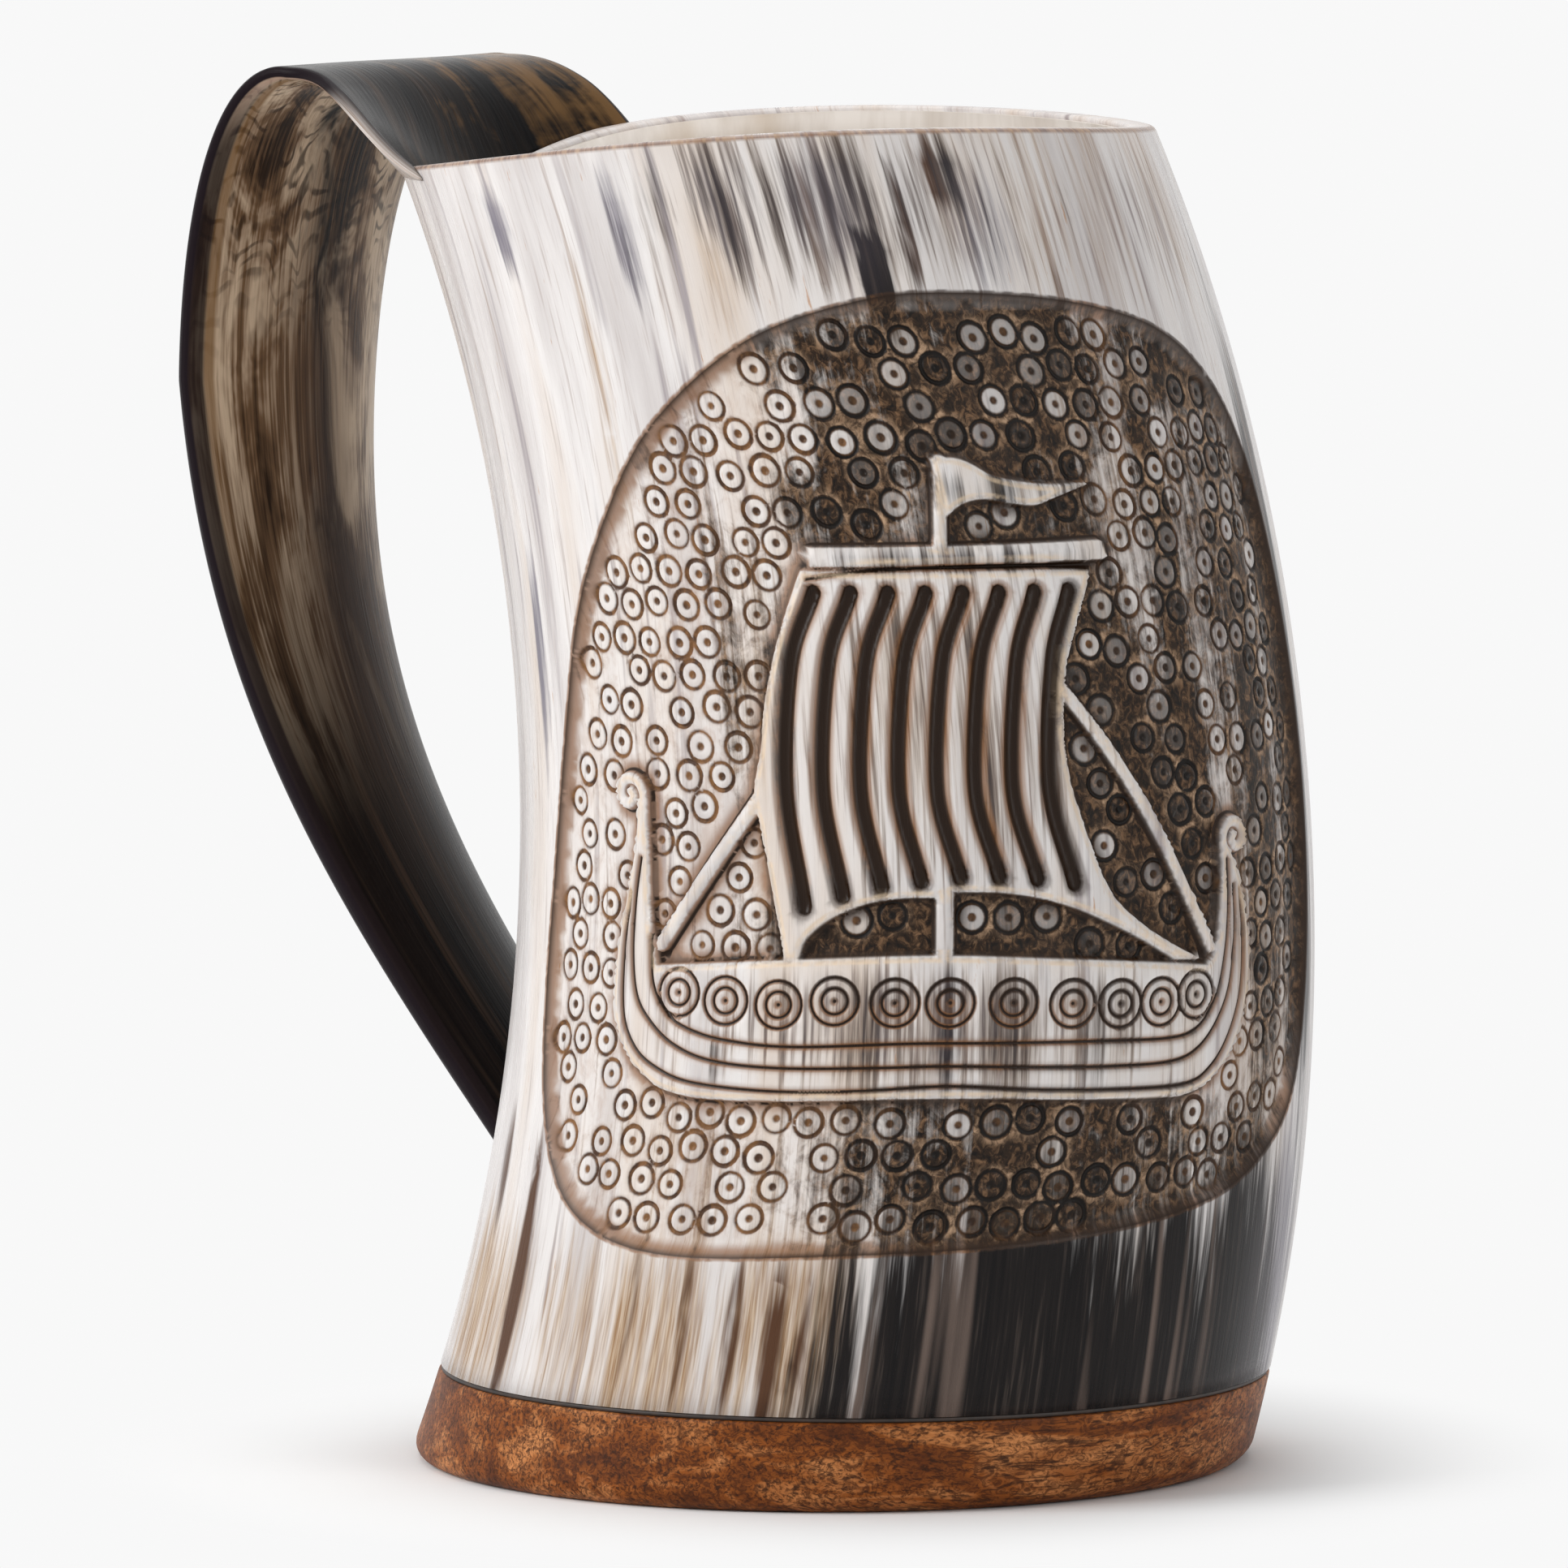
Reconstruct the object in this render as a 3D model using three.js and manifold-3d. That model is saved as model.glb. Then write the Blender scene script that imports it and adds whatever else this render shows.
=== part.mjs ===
// Horn tankard: a bent horn body on a turned wooden base, with a horn strip handle let into the wall.
// Millimetres, +Z up. The origin is the centre of the base underside and the handle points along -X.
import * as THREE from "three";
import { mergeVertices } from "three/addons/utils/BufferGeometryUtils.js";
import { TessellateModifier } from "three/addons/modifiers/TessellateModifier.js";
import Module from "manifold-3d";

const wasm = await Module();
wasm.setup();

const DEG = Math.PI / 180;

// Horn body: radii of the outside, and the arc that the horn's axis bends along
const BODY_HEIGHT = 157;
const BASE_RADIUS = 49.9;
const RIM_RADIUS = 45.5;
const BEND_RADIUS = 207;
const BEND_HEIGHT = 69;
const WALL = 3.4;

// Hand-cut rim: it rises towards one side, saddles across it and dips where the handle leaves
const RIM_RISE = 2.3;
const RIM_RISE_ANGLE = 30;
const RIM_SADDLE = 1.4;
const RIM_DIP = 2.5;
const RIM_DIP_ANGLE = 25;
const RIM_EDGE = 0.5;

// Wooden base: a flange under the horn and a spigot inside it
const FLANGE_HEIGHT = 10.8;
const FLANGE_EDGE = 2.6;
const SPIGOT_HEIGHT = 8.0;
const GLUE_THICKNESS = 0.6;
const GLUE_INSET = 0.25;

// Food-safe coat inside
const LINING_THICKNESS = 0.8;
const LINING_BELOW_RIM = 0.6;

// Handle strip: the line of its middle, measured from where it leaves the rim
const APEX_OUT = 10.1;
const APEX_RISE = 10.4;
const REACH = 21;
const REACH_DROP = 25;
const FOOT_HEIGHT = 43;
const FOOT_LEAN = 39;
const TOP_ROUNDNESS = 0.61;
const WIDEST_STIFFNESS = 0.4;
const FOOT_STIFFNESS = 0.45;

// Handle strip: widths from its middle to its edges, gutter radii and thickness along it
const ROOT_NEAR_ANGLE = 50;
const ROOT_FAR_ANGLE = 39;
const APEX_NEAR_WIDTH = 22.9;
const APEX_FAR_WIDTH = 27.3;
const REACH_HALF_WIDTH = 21.5;
const FOOT_HALF_WIDTH = 13.8;
const APEX_GUTTER = 300;
const REACH_GUTTER = 55;
const FOOT_GUTTER = 35;
const APEX_THICKNESS = 2.6;
const REACH_THICKNESS = 4.2;
const FOOT_THICKNESS = 5;
const EDGE_TAPER = 0.45;
const EDGE_NOSE = 1 / 3;
const ROOT_TURN = 0.5;
const SIZE_EASE = [1.85, 1, 1.8];

// Joints of the handle: a lap let into the wall at the root, and pegs at the root and the foot
const LAP_HEIGHT = 14;
const LAP_HALF_ANGLE = 27;
const TONGUE_INTO_STRIP = 1.2;
const TONGUE_INSET = 0.1;
const ROOT_RUN_ON = 5;
const FOOT_RUN_ON = 10;
const PEG_RADIUS = 1.5;
const ROOT_PEG_SHARE = 0.6;
const FOOT_PEG_SPACING = 9;
const FOOT_PEG_REACH = 20;
const FIT = 0.3;

// Carved panel on the front: where it faces, its width round the horn, its place on the wall and its depth
const PANEL_ANGLE = -55.5;
const PANEL_WIDTH = 115;
const PANEL_ABOVE_CUT = 18.1;
const PANEL_BELOW_RIM = 16.5;
const CARVE_DEPTH = 1.2;

// Mesh fineness
const AROUND = 48;
const WALL_ROWS = 12;
const LINING_ROWS = 9;
const EDGE_STEPS = 3;
const PEG_SIDES = 16;
const STRIP_ACROSS = 10;
const STRIP_STEPS = [6, 8, 12];
const CARVE_STEP = 9;
const CARVE_SPLITS = 8;
const PANEL_POINTS = 48;
const HULL_POINTS = 40;
const GROOVE_POINTS = 4;
const MERGE = 1e-4;
const CARVE_MERGE = 1e-3;

// How far cutting shapes reach past what they cut
const OVERCUT = 3;

// The outside of the horn: axis offset and radius at a height
function axisOffset(z) {
  const arc = (height) => Math.sqrt(BEND_RADIUS ** 2 - (height - BEND_HEIGHT) ** 2);
  return arc(z) - arc(0);
}

function outerRadius(z) {
  const toRim = 1 - z / BODY_HEIGHT;
  return RIM_RADIUS + (BASE_RADIUS - RIM_RADIUS) * toRim ** 2;
}

function rimHeight(angle) {
  const fromRise = angle - RIM_RISE_ANGLE * DEG;
  const fromHandle = Math.atan2(Math.sin(angle - Math.PI), Math.cos(angle - Math.PI));
  const dip = RIM_DIP * Math.exp(-((fromHandle / (RIM_DIP_ANGLE * DEG)) ** 2));
  return BODY_HEIGHT + RIM_RISE * Math.cos(fromRise) - RIM_SADDLE * Math.cos(2 * fromRise) - dip;
}

// A point at an angle and height, a distance outside (or, below zero, inside) the horn's surface
function onHorn(angle, z, outward) {
  const radius = outerRadius(z) + outward;
  return new THREE.Vector3(axisOffset(z) + radius * Math.cos(angle), radius * Math.sin(angle), z);
}

const spread = (count, make) => Array.from({ length: count }, (_, index) => make(index));
const mix = THREE.MathUtils.lerp;
const ease = (t) => t * t * (3 - 2 * t);

// A ring round the horn, whose height may vary with the angle
function hornRing(heightAt, outward) {
  return spread(AROUND, (index) => {
    const angle = (index / AROUND) * 2 * Math.PI;
    return onHorn(angle, heightAt(angle), outward);
  });
}

// A wall of rings between two height functions, from the first to the second
function hornWall(fromHeight, toHeight, outward, rows) {
  return spread(rows + 1, (row) =>
    hornRing((angle) => mix(fromHeight(angle), toHeight(angle), row / rows), outward));
}

// Joins rings of equal counts, each counter-clockwise seen from where the rings lead, into a closed surface:
// the ends are capped, or the last ring joins the first
function loft(rings, joinEnds = false) {
  const count = rings[0].length;
  const points = rings.flat();
  const triangles = [];
  const bands = joinEnds ? rings.length : rings.length - 1;
  for (let band = 0; band < bands; band += 1) {
    const low = band * count;
    const high = ((band + 1) % rings.length) * count;
    for (let i = 0; i < count; i += 1) {
      const next = (i + 1) % count;
      triangles.push(low + i, low + next, high + next, low + i, high + next, high + i);
    }
  }
  if (!joinEnds) {
    capEnd(points, triangles, 0, count, true);
    capEnd(points, triangles, (rings.length - 1) * count, count, false);
  }
  const geometry = new THREE.BufferGeometry().setFromPoints(points);
  geometry.setIndex(triangles);
  return geometry;
}

// Closes one end of a loft with a fan round the ring's middle
function capEnd(points, triangles, first, count, facesBack) {
  const middle = new THREE.Vector3();
  for (let i = 0; i < count; i += 1) {
    middle.addScaledVector(points[first + i], 1 / count);
  }
  const centre = points.push(middle) - 1;
  for (let i = 0; i < count; i += 1) {
    const a = first + i;
    const b = first + ((i + 1) % count);
    triangles.push(centre, facesBack ? b : a, facesBack ? a : b);
  }
}

// Between geometries and solids that can be joined and cut
function solid(geometry) {
  const bare = new THREE.BufferGeometry();
  bare.setAttribute("position", geometry.getAttribute("position"));
  bare.setIndex(geometry.getIndex());
  const merged = mergeVertices(bare, MERGE);
  return new wasm.Manifold(new wasm.Mesh({
    numProp: 3,
    vertProperties: new Float32Array(merged.getAttribute("position").array),
    triVerts: new Uint32Array(merged.getIndex().array),
  }));
}

function geometryOf(shape) {
  const mesh = shape.getMesh();
  const geometry = new THREE.BufferGeometry();
  geometry.setAttribute("position", new THREE.BufferAttribute(mesh.vertProperties, 3));
  geometry.setIndex(new THREE.BufferAttribute(mesh.triVerts, 1));
  geometry.computeVertexNormals();
  return geometry;
}

const joined = (shapes) => shapes.reduce((all, shape) => all.add(shape));

const level = (z) => () => z;
const hornBottom = FLANGE_HEIGHT + GLUE_THICKNESS;
const spigotTop = FLANGE_HEIGHT + SPIGOT_HEIGHT;

// Everything within a distance of the horn's outside, up to a distance above the rim
function envelope(outward, aboveRim) {
  return solid(loft(hornWall(level(0), (angle) => rimHeight(angle) + aboveRim, outward, WALL_ROWS)));
}

// The horn's wall as cut and scraped, before the lap, the pegs and the carving
function plainWall() {
  const topEdge = (angle) => rimHeight(angle) - RIM_EDGE;
  return solid(loft([
    ...hornWall(level(hornBottom), topEdge, 0, WALL_ROWS),
    hornRing(rimHeight, -RIM_EDGE),
    hornRing(rimHeight, RIM_EDGE - WALL),
    ...hornWall(topEdge, level(hornBottom), -WALL, LINING_ROWS),
  ], true));
}

// A curved block that follows the horn's wall behind the handle, between two depths
function wallBlock(halfAngle, below, above, inner, outer) {
  const steps = Math.ceil((2 * halfAngle) / (2 * Math.PI / AROUND));
  return solid(loft(spread(steps + 1, (step) => {
    const angle = Math.PI - halfAngle + (2 * halfAngle * step) / steps;
    const low = rimHeight(angle) - below;
    const high = rimHeight(angle) + above;
    return [[low, inner], [high, inner], [high, outer], [low, outer]].map(
      ([z, outward]) => onHorn(angle, z, outward));
  })));
}

// The middle line of the handle strip, as three curves in the XZ plane
function handleLine() {
  const wallX = (z) => axisOffset(z) - outerRadius(z);
  const rootZ = rimHeight(Math.PI);
  const root = new THREE.Vector2(wallX(rootZ), rootZ);
  const wallLean = new THREE.Vector2(wallX(rootZ) - wallX(rootZ - 1), 1).normalize();
  const apex = new THREE.Vector2(root.x - APEX_OUT, rootZ + APEX_RISE);
  const widest = new THREE.Vector2(root.x - REACH, rootZ - REACH_DROP);
  const foot = new THREE.Vector2(wallX(FOOT_HEIGHT), FOOT_HEIGHT);
  const footWay = new THREE.Vector2(Math.sin(FOOT_LEAN * DEG), -Math.cos(FOOT_LEAN * DEG));
  const fall = widest.y - foot.y;
  const ahead = (from, way, length) => from.clone().addScaledVector(way, length);
  const left = new THREE.Vector2(-1, 0);
  const down = new THREE.Vector2(0, -1);
  const topRun = apex.x - widest.x;
  const topDrop = apex.y - widest.y;
  return [
    new THREE.CubicBezierCurve(root, ahead(root, wallLean, TOP_ROUNDNESS * APEX_RISE),
      ahead(apex, left, -TOP_ROUNDNESS * APEX_OUT), apex),
    new THREE.CubicBezierCurve(apex, ahead(apex, left, TOP_ROUNDNESS * topRun),
      ahead(widest, down, -TOP_ROUNDNESS * topDrop), widest),
    new THREE.CubicBezierCurve(widest, ahead(widest, down, WIDEST_STIFFNESS * fall),
      ahead(foot, footWay, -FOOT_STIFFNESS * fall), foot),
  ];
}

// The strip's cross-section sizes at the ends of the three curves: how sharply it is guttered, its thickness,
// and how far its two edges lie from its middle, measured round the gutter
function stripSizes() {
  const rootRadius = outerRadius(rimHeight(Math.PI));
  const sized = (gutter, near, far, thickness) => ({ bend: 1 / gutter, thickness, near, far });
  return [
    sized(rootRadius, ROOT_NEAR_ANGLE * DEG * rootRadius, ROOT_FAR_ANGLE * DEG * rootRadius, WALL),
    sized(APEX_GUTTER, APEX_NEAR_WIDTH, APEX_FAR_WIDTH, APEX_THICKNESS),
    sized(REACH_GUTTER, REACH_HALF_WIDTH, REACH_HALF_WIDTH, REACH_THICKNESS),
    sized(FOOT_GUTTER, FOOT_HALF_WIDTH, FOOT_HALF_WIDTH, FOOT_THICKNESS),
  ];
}

// One closed cross-section: the gutter's outer face from the near edge to the far edge, then its inner face
// back, with a nose on each edge
function stripSection(point, normal, size) {
  const gutter = 1 / size.bend;
  const near = size.near * size.bend;
  const far = size.far * size.bend;
  const place = (radius, angle) => {
    const out = gutter - radius * Math.cos(angle);
    return new THREE.Vector3(point.x + normal.x * out, radius * Math.sin(angle), point.y + normal.y * out);
  };
  const thicknessAt = (angle) => {
    const toEdge = angle < 0 ? -angle / near : angle / far;
    return size.thickness * (1 - EDGE_TAPER * toEdge ** 2);
  };
  const face = (depth) => spread(STRIP_ACROSS + 1, (i) => {
    const angle = mix(-near, far, i / STRIP_ACROSS);
    return place(gutter - depth * thicknessAt(angle), angle);
  });
  const edge = size.thickness * (1 - EDGE_TAPER);
  const nose = (EDGE_NOSE * edge) / gutter;
  return [
    ...face(1),
    place(gutter - edge / 2, far + nose),
    ...face(0).reverse(),
    place(gutter - edge / 2, -near - nose),
  ];
}

// The whole strip, running on a little into the wall at both ends
function handleStrip() {
  const curves = handleLine();
  const sizes = stripSizes();
  const sections = [];
  curves.forEach((curve, index) => {
    const steps = STRIP_STEPS[index];
    for (let step = index === 0 ? 0 : 1; step <= steps; step += 1) {
      const t = step / steps;
      const along = 1 - (1 - t) ** SIZE_EASE[index];
      const size = {};
      for (const key of Object.keys(sizes[0])) {
        size[key] = mix(sizes[index][key], sizes[index + 1][key], along);
      }
      const tangent = curve.getTangent(t);
      const square = new THREE.Vector2(tangent.y, -tangent.x);
      const turn = index === 0 ? ease(Math.min(1, t / ROOT_TURN)) : 1;
      const normal = new THREE.Vector2(1, 0).lerp(square, turn).normalize();
      sections.push({ point: curve.getPoint(t), tangent, normal, size });
    }
  });
  const first = sections[0];
  const last = sections[sections.length - 1];
  const before = { ...first, point: first.point.clone().addScaledVector(first.tangent, -ROOT_RUN_ON) };
  const after = { ...last, point: last.point.clone().addScaledVector(last.tangent, FOOT_RUN_ON) };
  return solid(loft([before, ...sections, after].map(
    (section) => stripSection(section.point, section.normal, section.size))));
}

// A round peg or its hole, along a direction from a point
function rod(radius, from, way, length) {
  const geometry = new THREE.CylinderGeometry(radius, radius, length, PEG_SIDES);
  geometry.translate(0, length / 2, 0);
  geometry.applyQuaternion(new THREE.Quaternion().setFromUnitVectors(new THREE.Vector3(0, 1, 0), way));
  geometry.translate(from.x, from.y, from.z);
  return solid(geometry);
}

// Pegs: two through the lap at the root, two through the foot of the strip into the wall.
// Their ends are trimmed to what they go through
function pegPlaces(wall, strip) {
  const places = {};
  for (const [side, sign] of [["near", 1], ["far", -1]]) {
    const angle = Math.PI + sign * ROOT_PEG_SHARE * LAP_HALF_ANGLE * DEG;
    const z = rimHeight(angle) - LAP_HEIGHT / 2;
    places[`root_peg_${side}`] = {
      from: onHorn(angle, z, OVERCUT),
      way: new THREE.Vector3(-Math.cos(angle), -Math.sin(angle), 0),
      length: OVERCUT + WALL + FIT,
      stock: wall,
    };
    const across = (-sign * FOOT_PEG_SPACING) / 2;
    const footZ = FOOT_HEIGHT - FOOT_THICKNESS / 2 / Math.sin(FOOT_LEAN * DEG);
    const wallRun = Math.sqrt(outerRadius(footZ) ** 2 - across ** 2);
    places[`foot_peg_${side}`] = {
      from: new THREE.Vector3(axisOffset(footZ) - wallRun - FOOT_PEG_REACH, across, footZ),
      way: new THREE.Vector3(1, 0, 0),
      length: FOOT_PEG_REACH + WALL - FIT,
      stock: wall.add(strip),
    };
  }
  return places;
}

// Carving outlines, drawn flat in millimetres: u to the right of the panel's middle, v the height on the wall
const DRAWN_WIDTH = 115;
const DRAWN_BOTTOM = 29.5;
const DRAWN_HEIGHT = 111;
const panelBottom = hornBottom + PANEL_ABOVE_CUT;
const panelHeight = BODY_HEIGHT - PANEL_BELOW_RIM - panelBottom;
const outline = (points) => new THREE.Shape(points.map(([u, v]) => new THREE.Vector2(u, v)));
const curved = (points, steps) =>
  new THREE.Shape(new THREE.SplineCurve([...points, points[0]].map(([u, v]) => new THREE.Vector2(u, v)))
    .getPoints(steps).slice(0, -1));

function bar(from, to, width) {
  const way = new THREE.Vector2(to[0] - from[0], to[1] - from[1]).normalize();
  const side = new THREE.Vector2(-way.y, way.x).multiplyScalar(width / 2);
  return outline([
    [from[0] + side.x, from[1] + side.y], [from[0] - side.x, from[1] - side.y],
    [to[0] - side.x, to[1] - side.y], [to[0] + side.x, to[1] + side.y],
  ]);
}

// A prism of an outline, bent round the horn between two depths
function carved(shape, inner, outer) {
  const flat = new THREE.ExtrudeGeometry(shape, { depth: outer - inner, bevelEnabled: false, steps: 1 });
  const fine = new TessellateModifier(CARVE_STEP, CARVE_SPLITS).modify(flat);
  const position = fine.getAttribute("position");
  for (let i = 0; i < position.count; i += 1) {
    const arc = (position.getX(i) * PANEL_WIDTH) / DRAWN_WIDTH;
    const z = panelBottom + ((position.getY(i) - DRAWN_BOTTOM) * panelHeight) / DRAWN_HEIGHT;
    const point = onHorn(PANEL_ANGLE * DEG + arc / RIM_RADIUS, z, inner + position.getZ(i));
    position.setXYZ(i, point.x, point.y, point.z);
  }
  const bare = new THREE.BufferGeometry();
  bare.setAttribute("position", position);
  return solid(mergeVertices(bare, CARVE_MERGE));
}

const PANEL_OUTLINE = [
  [-56, 60], [-54, 80], [-46, 103], [-32, 122], [-12, 136], [12, 140.5], [36, 137.5], [51, 127],
  [57, 105], [57.5, 75], [53, 47], [38, 36], [10, 31], [-30, 29.5], [-46, 34], [-54, 45],
];
const HULL_OUTLINE = [
  [-39, 80], [-36, 79], [-37, 70], [-34, 64], [0, 64], [33, 64], [35.5, 70], [36, 77], [38.5, 78], [39, 66],
  [36, 56], [29, 49.6], [0, 48.8], [-30, 49.4], [-38, 55], [-41.5, 65],
];
const SAIL_OUTLINE = [
  [-13.5, 108.5], [-19, 97], [-21.5, 86], [-20, 72], [-18.5, 65], [-14, 68.5], [-5, 72], [8, 71.5], [18, 68],
  [23, 66], [17, 73], [14.3, 82], [14, 90], [16, 99], [20.5, 108.5],
];
const STAYS = [[[-22, 83], [-36, 65]], [[15, 94], [33, 65]]];
const MAST_WIDTH = 1.6;
const STAY_WIDTH = 1.4;
const YARD = { from: [-14, 110.3], to: [22, 110.3], width: 2.4 };
const MAST_FOOT = [-0.3, 63];
const MAST_SAIL = [0.2, 73];
const MAST_YARD = [2.4, 109];
const MAST_TOP = [4.5, 121.5];
const PENNANT = [[4, 121.5], [9, 121], [20.5, 118.5], [15, 117], [19, 114.5], [4, 113.5]];
const SAIL_GROOVES = 8;
const GROOVE_WIDTH = 1.9;
const FIRST_GROOVE = [[-11.5, 106.5], [-17.5, 91], [-16.5, 75]];
const LAST_GROOVE = [[17.5, 106.5], [11.5, 91], [14, 75]];

// The slots between the sail's stripes lean with its edges
function sailGrooves() {
  return spread(SAIL_GROOVES, (index) => {
    const across = index / (SAIL_GROOVES - 1);
    const line = new THREE.SplineCurve(FIRST_GROOVE.map(([u, v], at) =>
      new THREE.Vector2(mix(u, LAST_GROOVE[at][0], across), mix(v, LAST_GROOVE[at][1], across)),
    )).getPoints(GROOVE_POINTS);
    const side = line.map((p) => [p.x - GROOVE_WIDTH / 2, p.y]);
    const back = line.map((p) => [p.x + GROOVE_WIDTH / 2, p.y]).reverse();
    return outline([...side, ...back].reverse());
  });
}

// What is carved away: the sunk ground round the ship, and the slots in its sail
function carving() {
  const raised = [
    curved(HULL_OUTLINE, HULL_POINTS),
    outline(SAIL_OUTLINE),
    outline(PENNANT),
    bar(YARD.from, YARD.to, YARD.width),
    bar(MAST_FOOT, MAST_SAIL, MAST_WIDTH),
    bar(MAST_YARD, MAST_TOP, MAST_WIDTH),
    ...STAYS.map(([from, to]) => bar(from, to, STAY_WIDTH)),
  ].map((shape) => carved(shape, -OVERCUT - FIT, OVERCUT + FIT));
  const ground = carved(curved(PANEL_OUTLINE, PANEL_POINTS), -OVERCUT, OVERCUT).subtract(joined(raised));
  const slots = sailGrooves().map((shape) => carved(shape, -OVERCUT, OVERCUT));
  return joined([ground, ...slots]).subtract(envelope(-CARVE_DEPTH, OVERCUT));
}

// Turned wooden base: rounded foot edge, flange, then the spigot inside the horn
function woodenBase() {
  const roundedEdge = spread(EDGE_STEPS + 1, (step) => {
    const turn = (step / EDGE_STEPS) * (Math.PI / 2);
    return hornRing(level(FLANGE_EDGE * (1 - Math.cos(turn))), FLANGE_EDGE * (Math.sin(turn) - 1));
  });
  return loft([
    ...roundedEdge,
    hornRing(level(FLANGE_HEIGHT), 0),
    hornRing(level(FLANGE_HEIGHT), -WALL - FIT),
    hornRing(level(spigotTop), -WALL - FIT),
  ]);
}

// Bead of glue between the flange and the horn's cut end
function glueRing() {
  return loft([
    hornRing(level(FLANGE_HEIGHT), -GLUE_INSET),
    hornRing(level(hornBottom), -GLUE_INSET),
    hornRing(level(hornBottom), -WALL),
    hornRing(level(FLANGE_HEIGHT), -WALL),
  ], true);
}

// Food-safe coat: a thin cup over the spigot and up the wall
function innerLining() {
  const top = (angle) => rimHeight(angle) - LINING_BELOW_RIM;
  const outside = -WALL - FIT;
  const inside = outside - LINING_THICKNESS;
  return loft([
    ...hornWall(level(spigotTop), top, outside, LINING_ROWS),
    ...hornWall(top, level(spigotTop + LINING_THICKNESS), inside, LINING_ROWS),
  ]);
}

// Materials
const finish = (color, roughness) => new THREE.MeshStandardMaterial({ color, roughness, metalness: 0 });
const paleHorn = finish(0xcfc4b8, 0.28);
const darkHorn = finish(0x3b2c22, 0.22);
const wood = finish(0x8a4f26, 0.45);
const glue = finish(0x2a1c14, 0.6);
const coat = finish(0xeae2d6, 0.35);
const pegHorn = finish(0x4a382a, 0.3);

// Assembly
const tankard = new THREE.Group();

function place(name, geometry, material) {
  const mesh = new THREE.Mesh(geometry, material);
  mesh.name = name;
  tankard.add(mesh);
}

const wall = plainWall();
const strip = handleStrip();
const pegs = pegPlaces(wall, strip);
const holes = joined(Object.values(pegs).map(
  ({ from, way, length }) => rod(PEG_RADIUS + FIT, from, way, length + FIT)));
const lapDepth = WALL / 2;
const lapHalf = LAP_HALF_ANGLE * DEG;
const tongue = wallBlock(lapHalf, LAP_HEIGHT, TONGUE_INTO_STRIP, -lapDepth, -TONGUE_INSET);
const lapClearance = FIT / RIM_RADIUS;
const lapCut = wallBlock(lapHalf + lapClearance, LAP_HEIGHT + FIT, OVERCUT, -lapDepth - FIT, OVERCUT);

place("horn_body", geometryOf(wall.subtract(lapCut).subtract(holes).subtract(carving())), paleHorn);
place("horn_handle", geometryOf(strip.subtract(envelope(FIT, FIT)).add(tongue).subtract(holes)), darkHorn);
place("wooden_base", woodenBase(), wood);
place("base_glue_ring", glueRing(), glue);
place("inner_lining", innerLining(), coat);

for (const [name, { from, way, length, stock }] of Object.entries(pegs)) {
  place(name, geometryOf(rod(PEG_RADIUS, from, way, length).intersect(stock)), pegHorn);
}

export default tankard;
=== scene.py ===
import math

import bpy
import numpy as np
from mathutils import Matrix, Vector
from mathutils.geometry import delaunay_2d_cdt


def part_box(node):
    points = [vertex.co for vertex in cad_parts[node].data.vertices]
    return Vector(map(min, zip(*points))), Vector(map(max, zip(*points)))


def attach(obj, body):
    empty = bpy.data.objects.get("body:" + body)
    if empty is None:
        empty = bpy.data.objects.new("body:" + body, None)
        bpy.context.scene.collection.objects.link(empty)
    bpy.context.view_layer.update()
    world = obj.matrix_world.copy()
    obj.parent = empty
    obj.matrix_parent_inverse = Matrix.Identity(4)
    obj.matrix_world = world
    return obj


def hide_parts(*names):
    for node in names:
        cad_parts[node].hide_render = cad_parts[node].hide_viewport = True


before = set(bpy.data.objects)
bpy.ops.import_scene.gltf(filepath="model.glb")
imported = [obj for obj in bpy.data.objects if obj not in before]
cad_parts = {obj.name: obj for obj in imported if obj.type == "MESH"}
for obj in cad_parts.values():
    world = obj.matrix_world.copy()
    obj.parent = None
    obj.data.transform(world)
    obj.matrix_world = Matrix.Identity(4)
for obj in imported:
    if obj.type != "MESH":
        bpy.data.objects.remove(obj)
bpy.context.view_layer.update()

# Sizes are millimetres, and meshes are made in metres
MM = 0.001
DEG = math.pi / 180
SEED = 7
random = np.random.default_rng(SEED)

# Horn body: radii of the outside, and the arc that the horn's axis bends along
BODY_HEIGHT = 157
BASE_RADIUS = 49.9
RIM_RADIUS = 45.5
BEND_RADIUS = 207
BEND_HEIGHT = 69
WALL = 3.4
RIM_RISE = 2.3
RIM_RISE_ANGLE = 30
RIM_SADDLE = 1.4
RIM_DIP = 2.5
RIM_DIP_ANGLE = 25
RIM_EDGE = 0.7

# Wooden base, glue line and coat
FLANGE_HEIGHT = 10.8
FLANGE_EDGE = 2.6
SPIGOT_HEIGHT = 8.0
GLUE_THICKNESS = 0.6
GLUE_INSET = 0.25
LINING_THICKNESS = 0.8
LINING_BELOW_RIM = 0.6
FIT = 0.3
HORN_BOTTOM = FLANGE_HEIGHT + GLUE_THICKNESS
SPIGOT_TOP = FLANGE_HEIGHT + SPIGOT_HEIGHT

# Handle strip
APEX_OUT = 10.1
APEX_RISE = 10.4
REACH = 21
REACH_DROP = 25
FOOT_HEIGHT = 43
FOOT_LEAN = 39
TOP_ROUNDNESS = 0.61
WIDEST_STIFFNESS = 0.4
FOOT_STIFFNESS = 0.45
ROOT_NEAR_ANGLE = 50
ROOT_FAR_ANGLE = 39
APEX_NEAR_WIDTH = 22.9
APEX_FAR_WIDTH = 27.3
REACH_HALF_WIDTH = 21.5
FOOT_HALF_WIDTH = 13.8
APEX_GUTTER = 300
REACH_GUTTER = 55
FOOT_GUTTER = 35
APEX_THICKNESS = 2.6
REACH_THICKNESS = 4.2
FOOT_THICKNESS = 5
EDGE_TAPER = 0.45
ROOT_TURN = 0.5
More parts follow.
